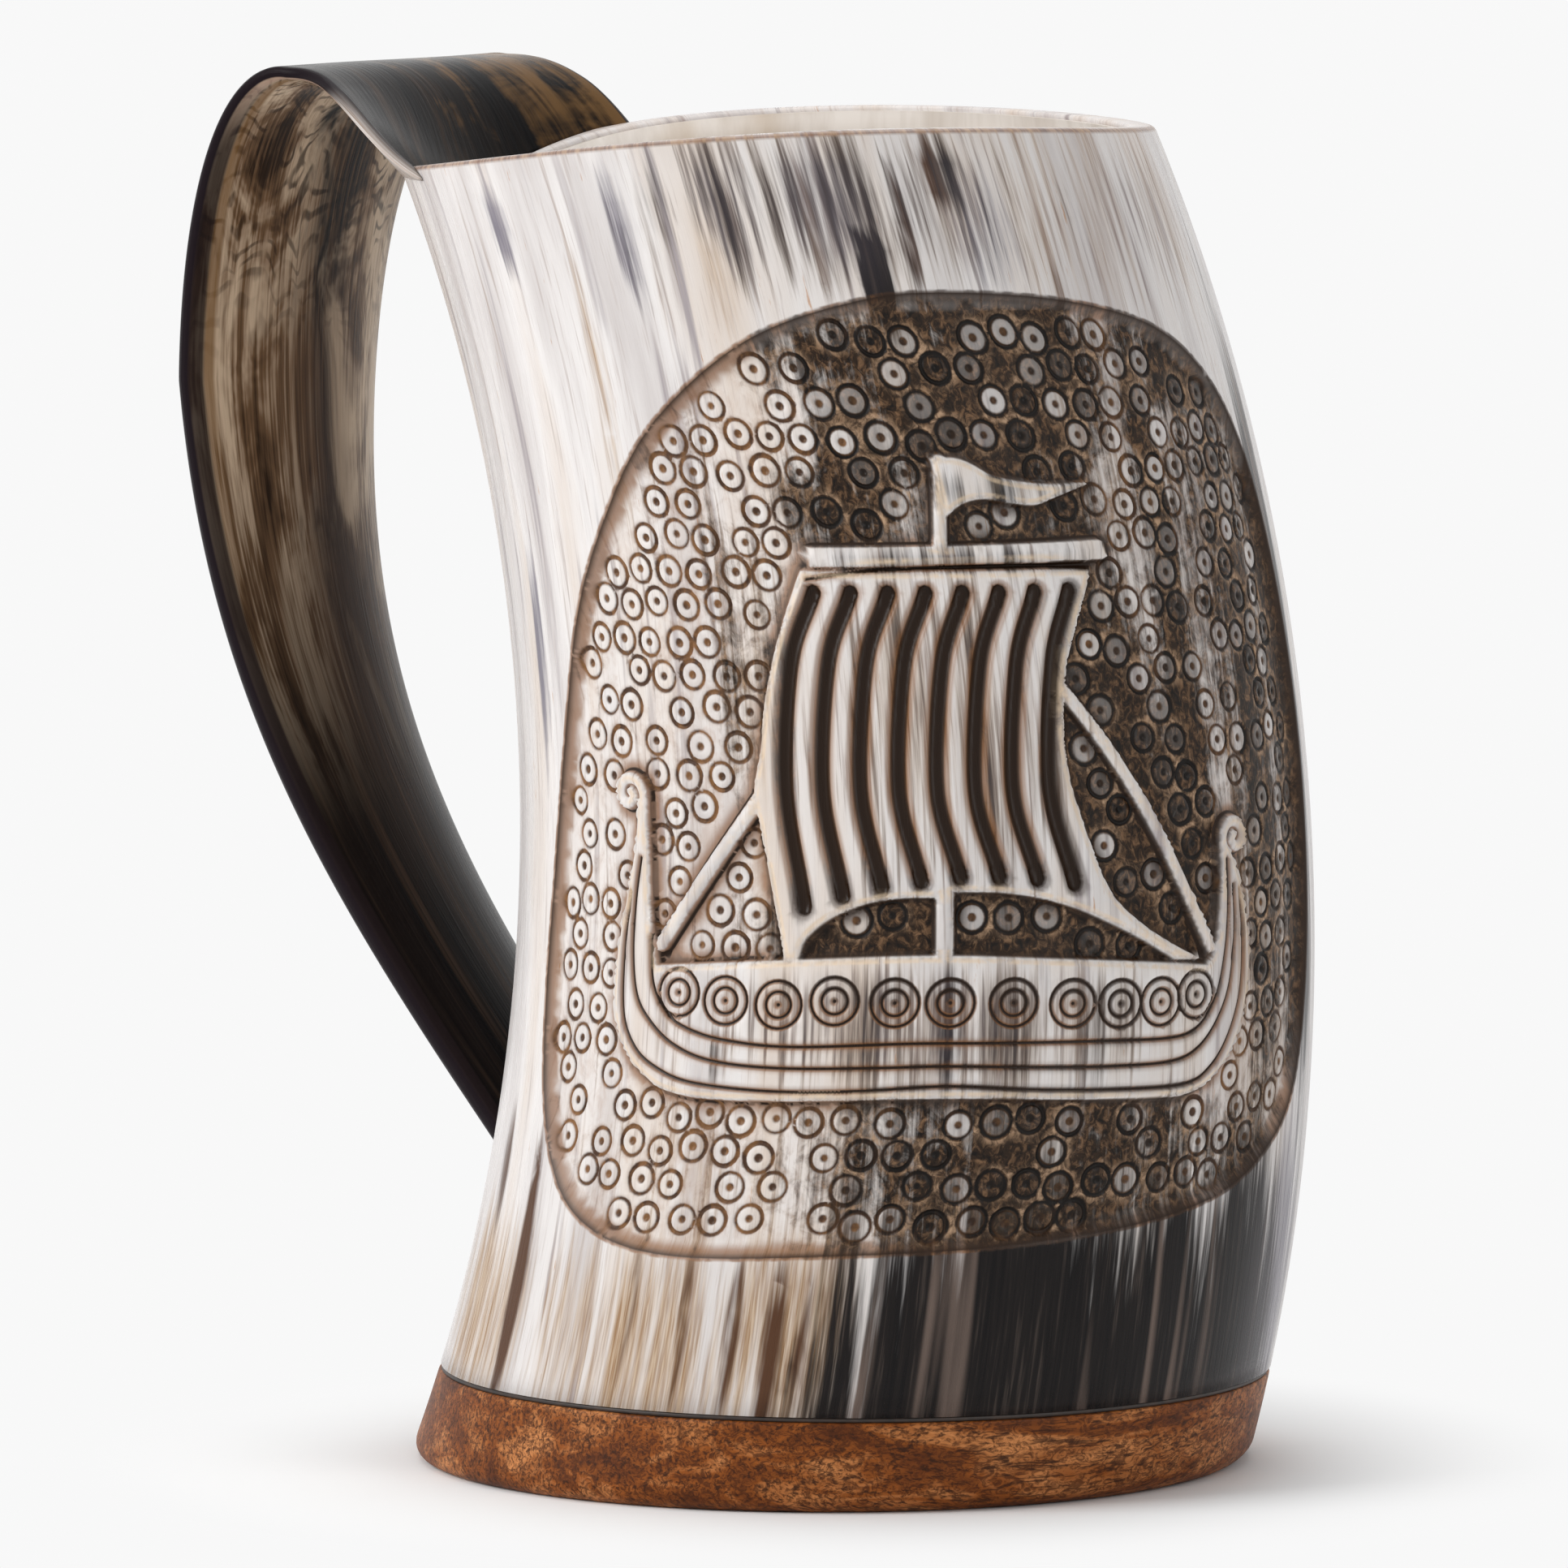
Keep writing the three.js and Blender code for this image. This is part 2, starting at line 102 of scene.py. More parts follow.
SIZE_EASE = (1.85, 1, 1.8)
LAP_HEIGHT = 14
LAP_HALF_ANGLE = 27
PEG_RADIUS = 1.5
ROOT_PEG_SHARE = 0.6

# Carved panel: where it faces, and the radius at which its drawing is rolled round the horn
PANEL_ANGLE = -55.5
PANEL_RADIUS = 46.5
HALF_ROUND = math.pi * PANEL_RADIUS

# The box round the panel in the drawing: half its width, its bottom and its top
PANEL_REACH = 60
PANEL_LOW = 28
PANEL_HIGH = 142
PANEL_MARGIN = 2
PANEL_HALF = PANEL_REACH + PANEL_MARGIN


def smooth(x):
    """A soft step from 0 to 1."""
    x = np.clip(x, 0, 1)
    return x * x * (3 - 2 * x)


def axis_offset(z):
    """How far the horn's bent axis lies from the base's middle at a height."""
    arc = np.sqrt(BEND_RADIUS**2 - (np.asarray(z) - BEND_HEIGHT) ** 2)
    return arc - math.sqrt(BEND_RADIUS**2 - BEND_HEIGHT**2)


def outer_radius(z):
    return RIM_RADIUS + (BASE_RADIUS - RIM_RADIUS) * (1 - np.asarray(z) / BODY_HEIGHT) ** 2


def rim_height(angle):
    """Height of the hand-cut rim, which dips under the handle."""
    from_rise = angle - RIM_RISE_ANGLE * DEG
    from_handle = np.arctan2(np.sin(angle - math.pi), np.cos(angle - math.pi))
    dip = RIM_DIP * np.exp(-((from_handle / (RIM_DIP_ANGLE * DEG)) ** 2))
    return BODY_HEIGHT + RIM_RISE * np.cos(from_rise) - RIM_SADDLE * np.cos(2 * from_rise) - dip


def on_horn(angle, z, outward):
    """Points at angles and heights, a distance outside the horn's surface."""
    radius = outer_radius(z) + outward
    parts = axis_offset(z) + radius * np.cos(angle), radius * np.sin(angle), z + 0 * angle
    return np.stack(np.broadcast_arrays(*parts), -1)


# Meshes and their attributes


def new_piece(name, points, faces, slot, *nodes):
    """A smooth mesh piece from points in millimetres that stands for CAD nodes."""
    mesh = bpy.data.meshes.new(name)
    mesh.from_pydata((np.asarray(points) * MM).tolist(), [], faces)
    mesh.polygons.foreach_set("use_smooth", [True] * len(mesh.polygons))
    mesh.validate()
    piece = bpy.data.objects.new(name, mesh)
    bpy.context.scene.collection.objects.link(piece)
    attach(piece, "root")
    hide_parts(*nodes)
    return piece


def set_values(piece, name, values):
    """One number or one vector for each point of the mesh, for its material."""
    values = np.asarray(values, np.float32)
    kind, key = ("FLOAT", "value") if values.ndim == 1 else ("FLOAT_VECTOR", "vector")
    piece.data.attributes.new(name, kind, "POINT").data.foreach_set(key, values.ravel())


def ring_faces(rings, count, closed=False, first=0):
    """Quads between rings of points that run counter-clockwise seen from where the rings lead."""
    faces = []
    for ring in range(rings if closed else rings - 1):
        low = first + ring * count
        high = first + ((ring + 1) % rings) * count
        for i in range(count):
            j = (i + 1) % count
            faces.append((low + i, low + j, high + j, high + i))
    return faces


# The drawing of the carving, rolled out flat: u to the right of the panel's middle, v the height

CURVE_STEP = 0.45
OUTLINE_STEP = 0.6
FINE_STEPS = 16
SCROLL_STEPS = 40


def resample(line, spacing):
    """Points at an even spacing along a line."""
    line = np.asarray(line, float)
    run = np.concatenate([[0], np.cumsum(np.linalg.norm(np.diff(line, axis=0), axis=1))])
    at = np.linspace(0, run[-1], max(2, round(run[-1] / spacing) + 1))
    return np.stack([np.interp(at, run, line[:, k]) for k in (0, 1)], 1)


def spline(points, closed=False, spacing=CURVE_STEP):
    """A smooth curve through points."""
    p = np.array(points, float)
    if closed:
        p = np.vstack([p[-1:], p, p[:2]])
    else:
        p = np.vstack([2 * p[:1] - p[1:2], p, 2 * p[-1:] - p[-2:-1]])
    t = np.linspace(0, 1, FINE_STEPS, endpoint=False)[:, None]
    runs = []
    for a, b, c, d in zip(p, p[1:], p[2:], p[3:]):
        square = 2 * a - 5 * b + 4 * c - d
        cube = 3 * b - a - 3 * c + d
        runs.append(0.5 * (2 * b + (c - a) * t + square * t**2 + cube * t**3))
    return resample(np.vstack([*runs, p[-2:-1]]), spacing)


def chain(*sides):
    """A closed outline of smooth sides that meet at corners."""
    return np.vstack([spline(side)[:-1] for side in sides])


PANEL_OUTLINE = spline([
    (-57.5, 60), (-56, 75), (-53, 88), (-48, 102), (-40, 114), (-30, 125), (-15, 135), (0, 139.7),
    (12, 140.5), (28, 139), (42, 135), (52, 127), (57, 116), (59, 100), (59.5, 80), (58, 60), (54, 46),
    (46, 39), (35, 34.5), (15, 31.5), (-10, 30), (-30, 29.2), (-42, 31.5), (-50, 37),
    (-55.5, 47),
], closed=True, spacing=OUTLINE_STEP)

HULL = chain(
    [(-36.4, 62.6), (-18, 64.1), (-2, 64.8), (12, 64.2), (24, 63.3), (33, 62.4)],
    [(33, 62.4), (34.6, 64.2), (35.6, 68), (36, 72), (36.2, 76.4)],
    [(36.2, 76.4), (37.2, 76.2)],
    [(37.2, 76.2), (38.6, 73.6), (40.1, 69), (41, 63), (40.2, 57.5), (38.3, 53), (35, 49.6), (31, 47.9),
     (25, 47.7), (0, 48.6), (-25, 47.9), (-33, 48.4), (-37, 50), (-40.5, 53), (-42.6, 57.5), (-42.6, 64),
     (-41.4, 70), (-40, 76), (-39.3, 81.6)],
    [(-39.3, 81.6), (-38.2, 81.8)],
    [(-38.2, 81.8), (-38, 74), (-37.6, 68), (-36.4, 62.6)],
)
SAIL = chain(
    [(-14.4, 108.6), (20.6, 108.6)],
    [(20.6, 108.6), (18.3, 104), (15.6, 98), (14.3, 91), (14.5, 85), (15.8, 80), (17.5, 75), (19.6, 71),
     (23.5, 67.6), (28, 65), (31.5, 63.4)],
    [(31.5, 63.4), (28, 63.6)],
    [(28, 63.6), (24, 65.8), (20, 67.8), (15, 70), (10, 71.5), (5, 72.2), (0, 72.3)],
    [(0, 72.3), (-1.8, 71.7)],
    [(-1.8, 71.7), (-6, 71.6), (-10, 70.9), (-14, 69.2), (-17, 66.7), (-17.9, 64.3)],
    [(-17.9, 64.3), (-19.3, 64.2)],
    [(-19.3, 64.2), (-20.5, 70), (-22, 78), (-22.9, 83), (-21.8, 88), (-20.6, 94), (-18.6, 100),
     (-16.3, 105), (-14.4, 108.6)],
)
PENNANT = chain(
    [(3.6, 121.5), (6.5, 121.4), (8.3, 120.7), (10.5, 119.4), (14, 118.6), (18, 118.2), (22.3, 118.3)],
    [(22.3, 118.3), (18.5, 117.2), (15, 116.2), (11.5, 116.6), (8.6, 117), (6, 116.4), (3.8, 115)],
    [(3.8, 115), (3.6, 121.5)],
)
SCROLL_RADIUS = 2.3
SCROLL_EYE = 0.5
SCROLL_TURNS = 1.1


def scroll(centre, start, way):
    """The line of a curled-over end, from its outer turn to its eye."""
    share = np.linspace(0, 1, SCROLL_STEPS)
    radius = SCROLL_RADIUS + (SCROLL_EYE - SCROLL_RADIUS) * share
    angle = start * DEG + way * SCROLL_TURNS * 2 * math.pi * share
    line = np.stack([centre[0] + radius * np.cos(angle), centre[1] + radius * np.sin(angle)], 1)
    return resample(line, CURVE_STEP / 2)


# Strokes: a line and half its width
STROKES = [
    (spline([(-12.8, 110.3), (4, 110.5), (22.6, 110.8)]), 0.95),
    (spline([(-0.9, 63.5), (-0.9, 73)]), 0.85),
    (spline([(2.4, 110.5), (3.2, 115), (4.5, 121.2)]), 0.62),
    (spline([(-22.4, 82.6), (-29, 74.3), (-35.8, 65.2)]), 0.66),
    (spline([(14.8, 95), (20, 88), (25.2, 79.8), (30, 71.2), (33.8, 64.6)]), 0.62),
    (scroll((38.9, 76.9), 190, -1), 0.5),
    (scroll((-40.9, 82.2), -10, 1), 0.5),
]

# Slots between the sail's stripes
SLOTS = 8
SLOT_HALF_WIDTH = 1.35
SLOT_WALL = 0.8
SLOT_DEPTH = 1.1
# Where the first slot passes, the step to the next slot, and the height
SLOT_ROUTE = [(-13.3, 4.4, 106.3), (-17.2, 4.45, 98), (-19.1, 4.45, 84)]
SLOT_FOOT = (-17.2, 4.55)
SLOT_FOOT_HEIGHT = 73.8
SLOT_FOOT_ARCH = 3.6
SLOT_MIDDLE = 4.6


def slot_line(k):
    """The middle line of a slot. The slots' lower ends follow the arch of the sail's foot."""
    arch = SLOT_FOOT_HEIGHT - SLOT_FOOT_ARCH * ((k - SLOT_MIDDLE) / SLOT_MIDDLE) ** 2
    route = [(first + step * k, height) for first, step, height in SLOT_ROUTE]
    return spline([*route, (SLOT_FOOT[0] + SLOT_FOOT[1] * k, arch)])


SLOT_LINES = [slot_line(k) for k in range(SLOTS)]

# Cut lines: planks of the hull and the foot of the yard
CUT_HALF_WIDTH = 0.44
CUT_DEPTH = 0.5
CUTS = [
    spline([(-37.3, 66), (-36.6, 60.5), (-34, 57), (-30, 55.3), (-25, 54.5), (-18, 54.2), (-5, 54.8),
            (5, 54.8), (18, 54.6), (27, 54.4), (31, 55), (33.6, 57), (35.2, 60), (36.4, 65), (36.9, 70),
            (37, 74.5)]),
    spline([(-39, 75), (-39.8, 70), (-40, 64), (-39, 59), (-36.5, 56), (-33, 53.7), (-28, 52.2),
            (-20, 51.7), (-8, 52), (0, 52.2), (10, 51.9), (20, 51.6), (28, 51.7), (32, 53), (35, 56),
            (37, 60), (37.9, 66), (37.9, 71.5)]),
    spline([(-40.6, 71), (-41.4, 64), (-41, 57), (-38.7, 53), (-35, 50.8), (-30, 49.5), (-20, 49),
            (-10, 49.3), (0, 49.9), (10, 49.3), (20, 48.9), (30, 48.9), (34, 50.5), (37, 54), (39, 59),
            (39.4, 65), (39, 71)]),
    spline([(-13.8, 107.8), (-8, 108.6), (0, 109.1), (8, 109.3), (15, 109.1), (20.8, 108.7)]),
]

# Shields along the gunwale: two rings and a dot each
SHIELDS = [
    (-32.8, 59.8), (-26.5, 59.2), (-19.9, 59), (-13.3, 59.6), (-6.4, 59.5), (-0.1, 59.5), (7.2, 59.4),
    (14.3, 59.1), (20.4, 58.8), (26, 58.7), (31.3, 59.2),
]
SHIELD_RINGS = (2.75, 1.5)
SHIELD_DOT = 0.62

# Ring-and-dot punches over the sunk ground
PUNCH_RING = 1.68
PUNCH_LINE = 0.4
PUNCH_DOT = 0.7
PUNCH_DEPTH = 0.42
PUNCH_PITCH = 4.3
PUNCH_ROW = 3.9
PUNCH_JITTER = 0.6
PUNCH_GAP = 3.8
PUNCH_FILL = 3000
PUNCH_TO_SHIP = 1.35
PUNCH_TO_EDGE = 2.6
PUNCH_REACH = 1.1
PUNCH_LEAN = 0.2
# The painted highlight on the shoulder outside a ring: how far out, half its width, and its strength against
# the ring's
SHOULDER_OUT = 0.58
SHOULDER_HALF_WIDTH = 0.38
SHOULDER_STRENGTH = 1.5

# The ground and its edges
CARVE_DEPTH = 1.2
BEVEL = 1.7
SHIP_WALL = 0.5
SHIP_ROUND = 0.7
SHIP_CROWN = 0.28
# Tool marks on the ground: their depth, and the waves along u and v and how they wander
TOOL_DEPTH = 0.05
TOOL_WAVES = (1.9, 1.6)
TOOL_WANDER = (1.3, 1.1)
TOOL_TURNS = (0.8, 0.7)

# Brown stain beside cuts: its amount, where it starts to fade and the run of the fade
SHIP_STAIN = (0.42, 0.5, 2.6)
BEVEL_STAIN = (0.5, 1.2, 1.2)
SLOT_STAIN = (0.36, SLOT_HALF_WIDTH - 0.15, 0.7)
CUT_STAIN = (0.26, 0.3, 1.0)
SHIELD_STAIN = (0.2, 2.2, 1.0)
PUNCH_STAIN = (0.27, PUNCH_RING, 1.0)
# Dark or pale lines along an edge: the amount, where the line lies and half its width
SHIP_LINE = (0.9, 0.5, 0.55)
EDGE_LINE = (0.72, 0.3, 0.55)
# The pale crest line is a painted highlight along the ship's raised edges
PAINTED_CREST_HIGHLIGHT_LINE = (1.0, -0.4, 0.45)
PAINTED_CREST_HIGHLIGHT_REACH = 0.1
DISC_CLEAN = 0.85
SHORTEST_SQUARED = 1e-12


def line_distance(points, line, closed=False):
    """How far points lie from a line of short straight runs."""
    nearest = np.full(len(points), np.inf)
    ends = np.roll(line, -1, 0) if closed else line[1:]
    for a, b in zip(line, ends):
        run = b - a
        share = np.clip(((points - a) @ run) / max(run @ run, SHORTEST_SQUARED), 0, 1)
        offset = points - a - share[:, None] * run
        nearest = np.minimum(nearest, np.einsum("ij,ij->i", offset, offset))
    return np.sqrt(nearest)


def inside(points, outline):
    """Which points lie within a closed outline."""
    within = np.zeros(len(points), bool)
    u, v = points.T
    for a, b in zip(outline, np.roll(outline, -1, 0)):
        if a[1] != b[1]:
            crosses = (a[1] > v) != (b[1] > v)
            within ^= crosses & (u < (b[0] - a[0]) * (v - a[1]) / (b[1] - a[1]) + a[0])
    return within


def shape_distance(points, outline):
    """Distance to a closed outline, below zero inside it."""
    distance = line_distance(points, outline, closed=True)
    return np.where(inside(points, outline), -distance, distance)


def ship_distance(points):
    """Distance to the ship with its strokes, below zero inside it."""
    found = [shape_distance(points, shape) for shape in (HULL, SAIL, PENNANT)]
    found += [line_distance(points, line) - half for line, half in STROKES]
    return np.min(found, 0)


def punch_places():
    """Rough rows of punches over the ground, clear of the ship and the panel's edge."""
    rows = []
    for row, v in enumerate(np.arange(PANEL_LOW + PANEL_MARGIN, PANEL_HIGH - PANEL_MARGIN, PUNCH_ROW)):
        u = np.arange(PANEL_MARGIN - PANEL_REACH, PANEL_REACH, PUNCH_PITCH) + (row % 2) * PUNCH_PITCH / 2
        rows.append(np.stack([u, np.full_like(u, v)], 1))
    places = np.vstack(rows)
    places += random.uniform(-PUNCH_JITTER, PUNCH_JITTER, places.shape)
    fill = random.uniform((-PANEL_REACH, PANEL_LOW), (PANEL_REACH, PANEL_HIGH), (PUNCH_FILL, 2))
    places = np.vstack([places, fill])
    off_edge = -shape_distance(places, PANEL_OUTLINE) > PUNCH_TO_EDGE
    off_ship = ship_distance(places) > PUNCH_TO_SHIP
    kept = np.zeros((0, 2))
    for place in places[off_edge & off_ship]:
        if (np.hypot(*(kept - place).T) > PUNCH_GAP).all():
            kept = np.vstack([kept, place])
    return kept


PUNCHES = punch_places()
# How hard each punch was struck, how pale its disc stays, its size and the way it was tilted
STRENGTHS = (0.7, 1.0)
PALEST = 0.85
PALE_FEW = 3
SIZE_RANGE = (0.94, 1.06)
PUNCH_STRENGTH = random.uniform(*STRENGTHS, len(PUNCHES))
PUNCH_PALE = random.uniform(0, 1, len(PUNCHES)) ** PALE_FEW * PALEST
PUNCH_SIZE = random.uniform(*SIZE_RANGE, len(PUNCHES))
PUNCH_TILT = random.uniform(0, 2 * math.pi, len(PUNCHES))

# What relief gives for each point besides its height
WALL_VALUES = ("stain", "ring", "painted_shoulder_highlight", "crest", "tinted", "blackened")


def fade(distance, start, run):
    """1 up to a distance, and down to 0 over a run."""
    return 1 - smooth((distance - start) / run)


def stain_at(distance, kind):
    """An amount of stain that fades with distance."""
    amount, start, run = kind
    return amount * fade(distance, start, run)


def line_at(distance, kind):
    """An amount on a line, and down to 0 at half its width."""
    amount, place, half_width = kind
    return amount * (1 - smooth(np.abs(distance - place) / half_width))


def tool_marks(points):
    """Shallow waves that a scraper leaves, from -1 to 1."""
    u, v = points.T
    along_u = np.sin(TOOL_WAVES[0] * u + TOOL_WANDER[0] * np.sin(TOOL_TURNS[0] * v))
    along_v = np.sin(TOOL_WAVES[1] * v + TOOL_WANDER[1] * np.sin(TOOL_TURNS[1] * u))
    return along_u * along_v


def punch_values(points, ground):
    """The punches' rings and dots, painted highlights on their shoulders, discs, pale discs and stain, at
    each point.
    """
    totals = np.zeros((5, len(points)))
    struck = zip(PUNCHES, PUNCH_STRENGTH, PUNCH_SIZE, PUNCH_TILT, PUNCH_PALE)
    for centre, strength, size, tilt, paleness in struck:
        offset = points - centre
        distance = np.hypot(*offset.T) / size
        near = distance < PUNCH_RING + PUNCH_REACH
        if not near.any():
            continue
        d = distance[near]
        sunk = strength * ground[near]
        way = np.arctan2(offset[near, 1], offset[near, 0]) - tilt
        lean = 1 - PUNCH_LEAN + PUNCH_LEAN * np.cos(way)
        ring = np.maximum(line_at(d, (lean, PUNCH_RING, PUNCH_LINE)), fade(d, 0, PUNCH_DOT))
        # Painted highlight on the shoulder, brightest where the ring is shallowest
        painted_shoulder_highlight = line_at(d, (SHOULDER_STRENGTH - lean, PUNCH_RING + SHOULDER_OUT, SHOULDER_HALF_WIDTH))
        disc = smooth((PUNCH_RING - d) / PUNCH_LINE)
        stain = stain_at(d, PUNCH_STAIN) * (d > PUNCH_RING)
        found = np.stack([ring * sunk, painted_shoulder_highlight * sunk, disc, paleness * disc, stain * sunk])
        totals[:, near] = np.maximum(totals[:, near], found)
    return totals


def relief(points):
    """Height of the carved surface over the horn's, and then the WALL_VALUES."""
    ship = ship_distance(points)
    edge = -shape_distance(points, PANEL_OUTLINE)
    sunk = smooth(edge / BEVEL)
    ground = sunk * smooth(ship / SHIP_WALL)
    height = -CARVE_DEPTH * ground
    height -= SHIP_CROWN * sunk * smooth(1 + ship / SHIP_ROUND) * (ship < 0)
    height -= TOOL_DEPTH * ground * tool_marks(points)
    stains = [ground * stain_at(ship, SHIP_STAIN), sunk * line_at(ship, SHIP_LINE)]
    stains += [(edge > 0) * stain_at(edge, BEVEL_STAIN), line_at(edge, EDGE_LINE)]
    for line in SLOT_LINES:
        distance = line_distance(points, line)
        slot = smooth((SLOT_HALF_WIDTH - distance) / SLOT_WALL)
        height -= SLOT_DEPTH * slot
        stains += [slot, stain_at(distance, SLOT_STAIN)]
    cuts = np.zeros(len(points))
    for line in CUTS:
        distance = line_distance(points, line)
        cuts = np.maximum(cuts, fade(distance, 0, CUT_HALF_WIDTH))
        stains.append(stain_at(distance, CUT_STAIN))
    height -= CUT_DEPTH * cuts
    marks = np.zeros(len(points))
    for centre in SHIELDS:
        distance = np.hypot(*(points - centre).T)
        rings = [line_at(distance, (1.0, radius, PUNCH_LINE)) for radius in SHIELD_RINGS]
        marks = np.max([marks, *rings, fade(distance, 0, SHIELD_DOT)], 0)
        stains.append(stain_at(distance, SHIELD_STAIN))
    height -= PUNCH_DEPTH * marks
    rings, painted_shoulder_highlight, disc, pale, halo = punch_values(points, ground)
    height -= PUNCH_DEPTH * rings
    stain = np.max([*stains, cuts, marks, halo], 0)
    # Painted highlight: a pale line just inside the ship's edges
    crest = sunk * (ship < PAINTED_CREST_HIGHLIGHT_REACH) * line_at(ship, PAINTED_CREST_HIGHLIGHT_LINE)
    return height, stain, rings, painted_shoulder_highlight, crest, ground * (1 - DISC_CLEAN * disc), ground * (1 - pale)


# Points of the carved wall: rows beside every line of the drawing, then fill


def beside(line, offsets, closed=False):
    """Copies of a line at offsets to its left."""
    if closed:
        way = np.roll(line, -1, 0) - np.roll(line, 1, 0)
    else:
        way = np.gradient(line, axis=0)
    way = way / np.linalg.norm(way, axis=1, keepdims=True)
    left = np.stack([-way[:, 1], way[:, 0]], 1)
    return np.vstack([line + offset * left for offset in offsets])


def circle(centre, radius, count):
    a = np.arange(count) * 2 * math.pi / count
    return np.stack([centre[0] + radius * np.cos(a), centre[1] + radius * np.sin(a)], 1)


def thin(layers):
    """Takes points in order, but none that lies closer than its layer's gap to one taken before."""
    cell = max(gap for _, gap in layers)
    cells = {}
    kept = []
    for points, gap in layers:
        for u, v in points.tolist():
            home = (int(u // cell), int(v // cell))
            around = [(home[0] + i, home[1] + j) for i in (-1, 0, 1) for j in (-1, 0, 1)]
            near = [point for key in around for point in cells.get(key, ())]
            if all((u - a) ** 2 + (v - b) ** 2 >= gap * gap for a, b in near):
                cells.setdefault(home, []).append((u, v))
                kept.append((u, v))
    return np.array(kept)


COLUMNS = 196
ROWS = 48
PANEL_FILL = 1.1
# Rows of points beside the drawing's lines: offsets, or for cuts and rings shares of half their width
CUT_ROWS = (-2.2, -1, -0.5, 0, 0.5, 1, 2.2)
SHAPE_ROWS = (0, -0.25, -0.5, -0.75, 0.3, 0.7)
STROKE_ROWS = (0, 0.25, 0.5, 0.75)
SLOT_ROWS = (0, -0.25, -0.5, 0.45)
RIB_ROW = 0.87
EDGE_ROWS = (0.3, 0, 0.6, -0.3, 1.0, 1.7, 2.4, -0.9)
RING_ROWS = (0, -0.5, 0.5, -1, 1)
# Circles of points: the radius, or for a slot's end how far inside its wall, and the count
SLOT_CIRCLES = ((0, 16), (0.3, 12), (0.6, 8))
SHIELD_CIRCLES = ((0.3, 8), (SHIELD_DOT, 14))
SHIELD_COUNT = 28
PUNCH_COUNT = 20
PUNCH_CIRCLES = [
    (0.25, 6), (PUNCH_DOT, 12), *((PUNCH_RING + row * PUNCH_LINE, PUNCH_COUNT) for row in RING_ROWS),
    (PUNCH_RING + 2 * PUNCH_LINE, 16),
]
# The least gap between points of each kind, and how far the fill keeps from the panel's edge
FRAME_GAP = 0.01
RING_GAP = 0.1
LINE_GAP = 0.16
EDGE_GAP = 0.22
FILL_GAP = 0.55
REST_GAP = 0.7
FILL_TO_EDGE = 0.5
REST_TO_EDGE = 1.6


def both_sides(half, rows):
    """Offsets of a line's middle, and of rows on each side of it."""
    return [0, *(side * (half + row) for row in rows for side in (1, -1))]


def line_points():
    rows = [beside(line, [share * CUT_HALF_WIDTH for share in CUT_ROWS]) for line in CUTS]
    rows += [beside(shape, SHAPE_ROWS, closed=True) for shape in (HULL, SAIL, PENNANT)]
    rows += [beside(line, both_sides(half, STROKE_ROWS)) for line, half in STROKES]
    for line in SLOT_LINES:
        rows.append(beside(line, [*both_sides(SLOT_HALF_WIDTH, SLOT_ROWS), SLOT_HALF_WIDTH + RIB_ROW]))
        for end in (line[0], line[-1]):
            rows += [circle(end, SLOT_HALF_WIDTH - inset, count) for inset, count in SLOT_CIRCLES]
    return np.vstack(rows)


def ring_points():
    rings = []
    for centre in SHIELDS:
        for radius in SHIELD_RINGS:
            rings += [circle(centre, radius + row * PUNCH_LINE, SHIELD_COUNT) for row in RING_ROWS]
        rings += [[centre], *(circle(centre, radius, count) for radius, count in SHIELD_CIRCLES)]
    for centre, size in zip(PUNCHES, PUNCH_SIZE):
        rings += [[centre], *(circle(centre, radius * size, count) for radius, count in PUNCH_CIRCLES)]
    return np.vstack(rings)


def border_points(u, v):
    ends = [np.stack([u, np.full_like(u, height)], 1) for height in (v[0], v[-1])]
    sides = [np.stack([np.full_like(v[1:-1], place), v[1:-1]], 1) for place in (u[0], u[-1])]
    return np.vstack(ends + sides)


def grid(u, v):
    return np.stack([part.ravel() for part in np.meshgrid(u, v)], 1)


def wall_points():
    u = np.linspace(-HALF_ROUND, HALF_ROUND, COLUMNS + 1)
    v = np.linspace(HORN_BOTTOM, BODY_HEIGHT, ROWS + 1)
    fill_u = np.arange(-PANEL_REACH, PANEL_REACH + 1, PANEL_FILL)
    fill = grid(fill_u, np.arange(PANEL_LOW, PANEL_HIGH, PANEL_FILL))
    fill[:, 0] += (np.arange(len(fill)) // len(fill_u) % 2) * PANEL_FILL / 2
    rest = grid(u[1:-1], v[1:-1])
    return thin([
        (border_points(u, v), FRAME_GAP),
        (ring_points(), RING_GAP),
        (line_points(), LINE_GAP),
        (beside(PANEL_OUTLINE, EDGE_ROWS, closed=True), EDGE_GAP),
        (fill[-shape_distance(fill, PANEL_OUTLINE) > FILL_TO_EDGE], FILL_GAP),
        (rest[shape_distance(rest, PANEL_OUTLINE) > REST_TO_EDGE], REST_GAP),
    ])


def wall_height(angle, v):
    """Height on the wall: v up to the panel's top, and above it stretched to meet the hand-cut rim."""
    top = rim_height(angle) - RIM_EDGE
    share = np.clip((v - PANEL_HIGH) / (BODY_HEIGHT - PANEL_HIGH), 0, 1)
    return np.where(v > PANEL_HIGH, PANEL_HIGH + share * (top - PANEL_HIGH), v)


# The wall's map for baking: the panel's share of its width, and the inside's share of its height
MAP_PANEL = 0.66
MAP_WALL = 0.08
MAP_INSIDE = 0.95 * MAP_WALL
# The brown line on the rim: its depth, and how deep the outer rounding's rings and the cut end count
RIM_LINE_DEPTH = 0.85
RIM_LINE = (0.0, 0.2, 0.5)
CUT_END = 0.62
RIM_TURNS = (30, 60, 90)
INNER_ROWS = 8
SAME_POINT = 1e-6
SAME_HEIGHT = 1e-4
SEAM_NEAR = 1e-3
SEAM_DIGITS = 4


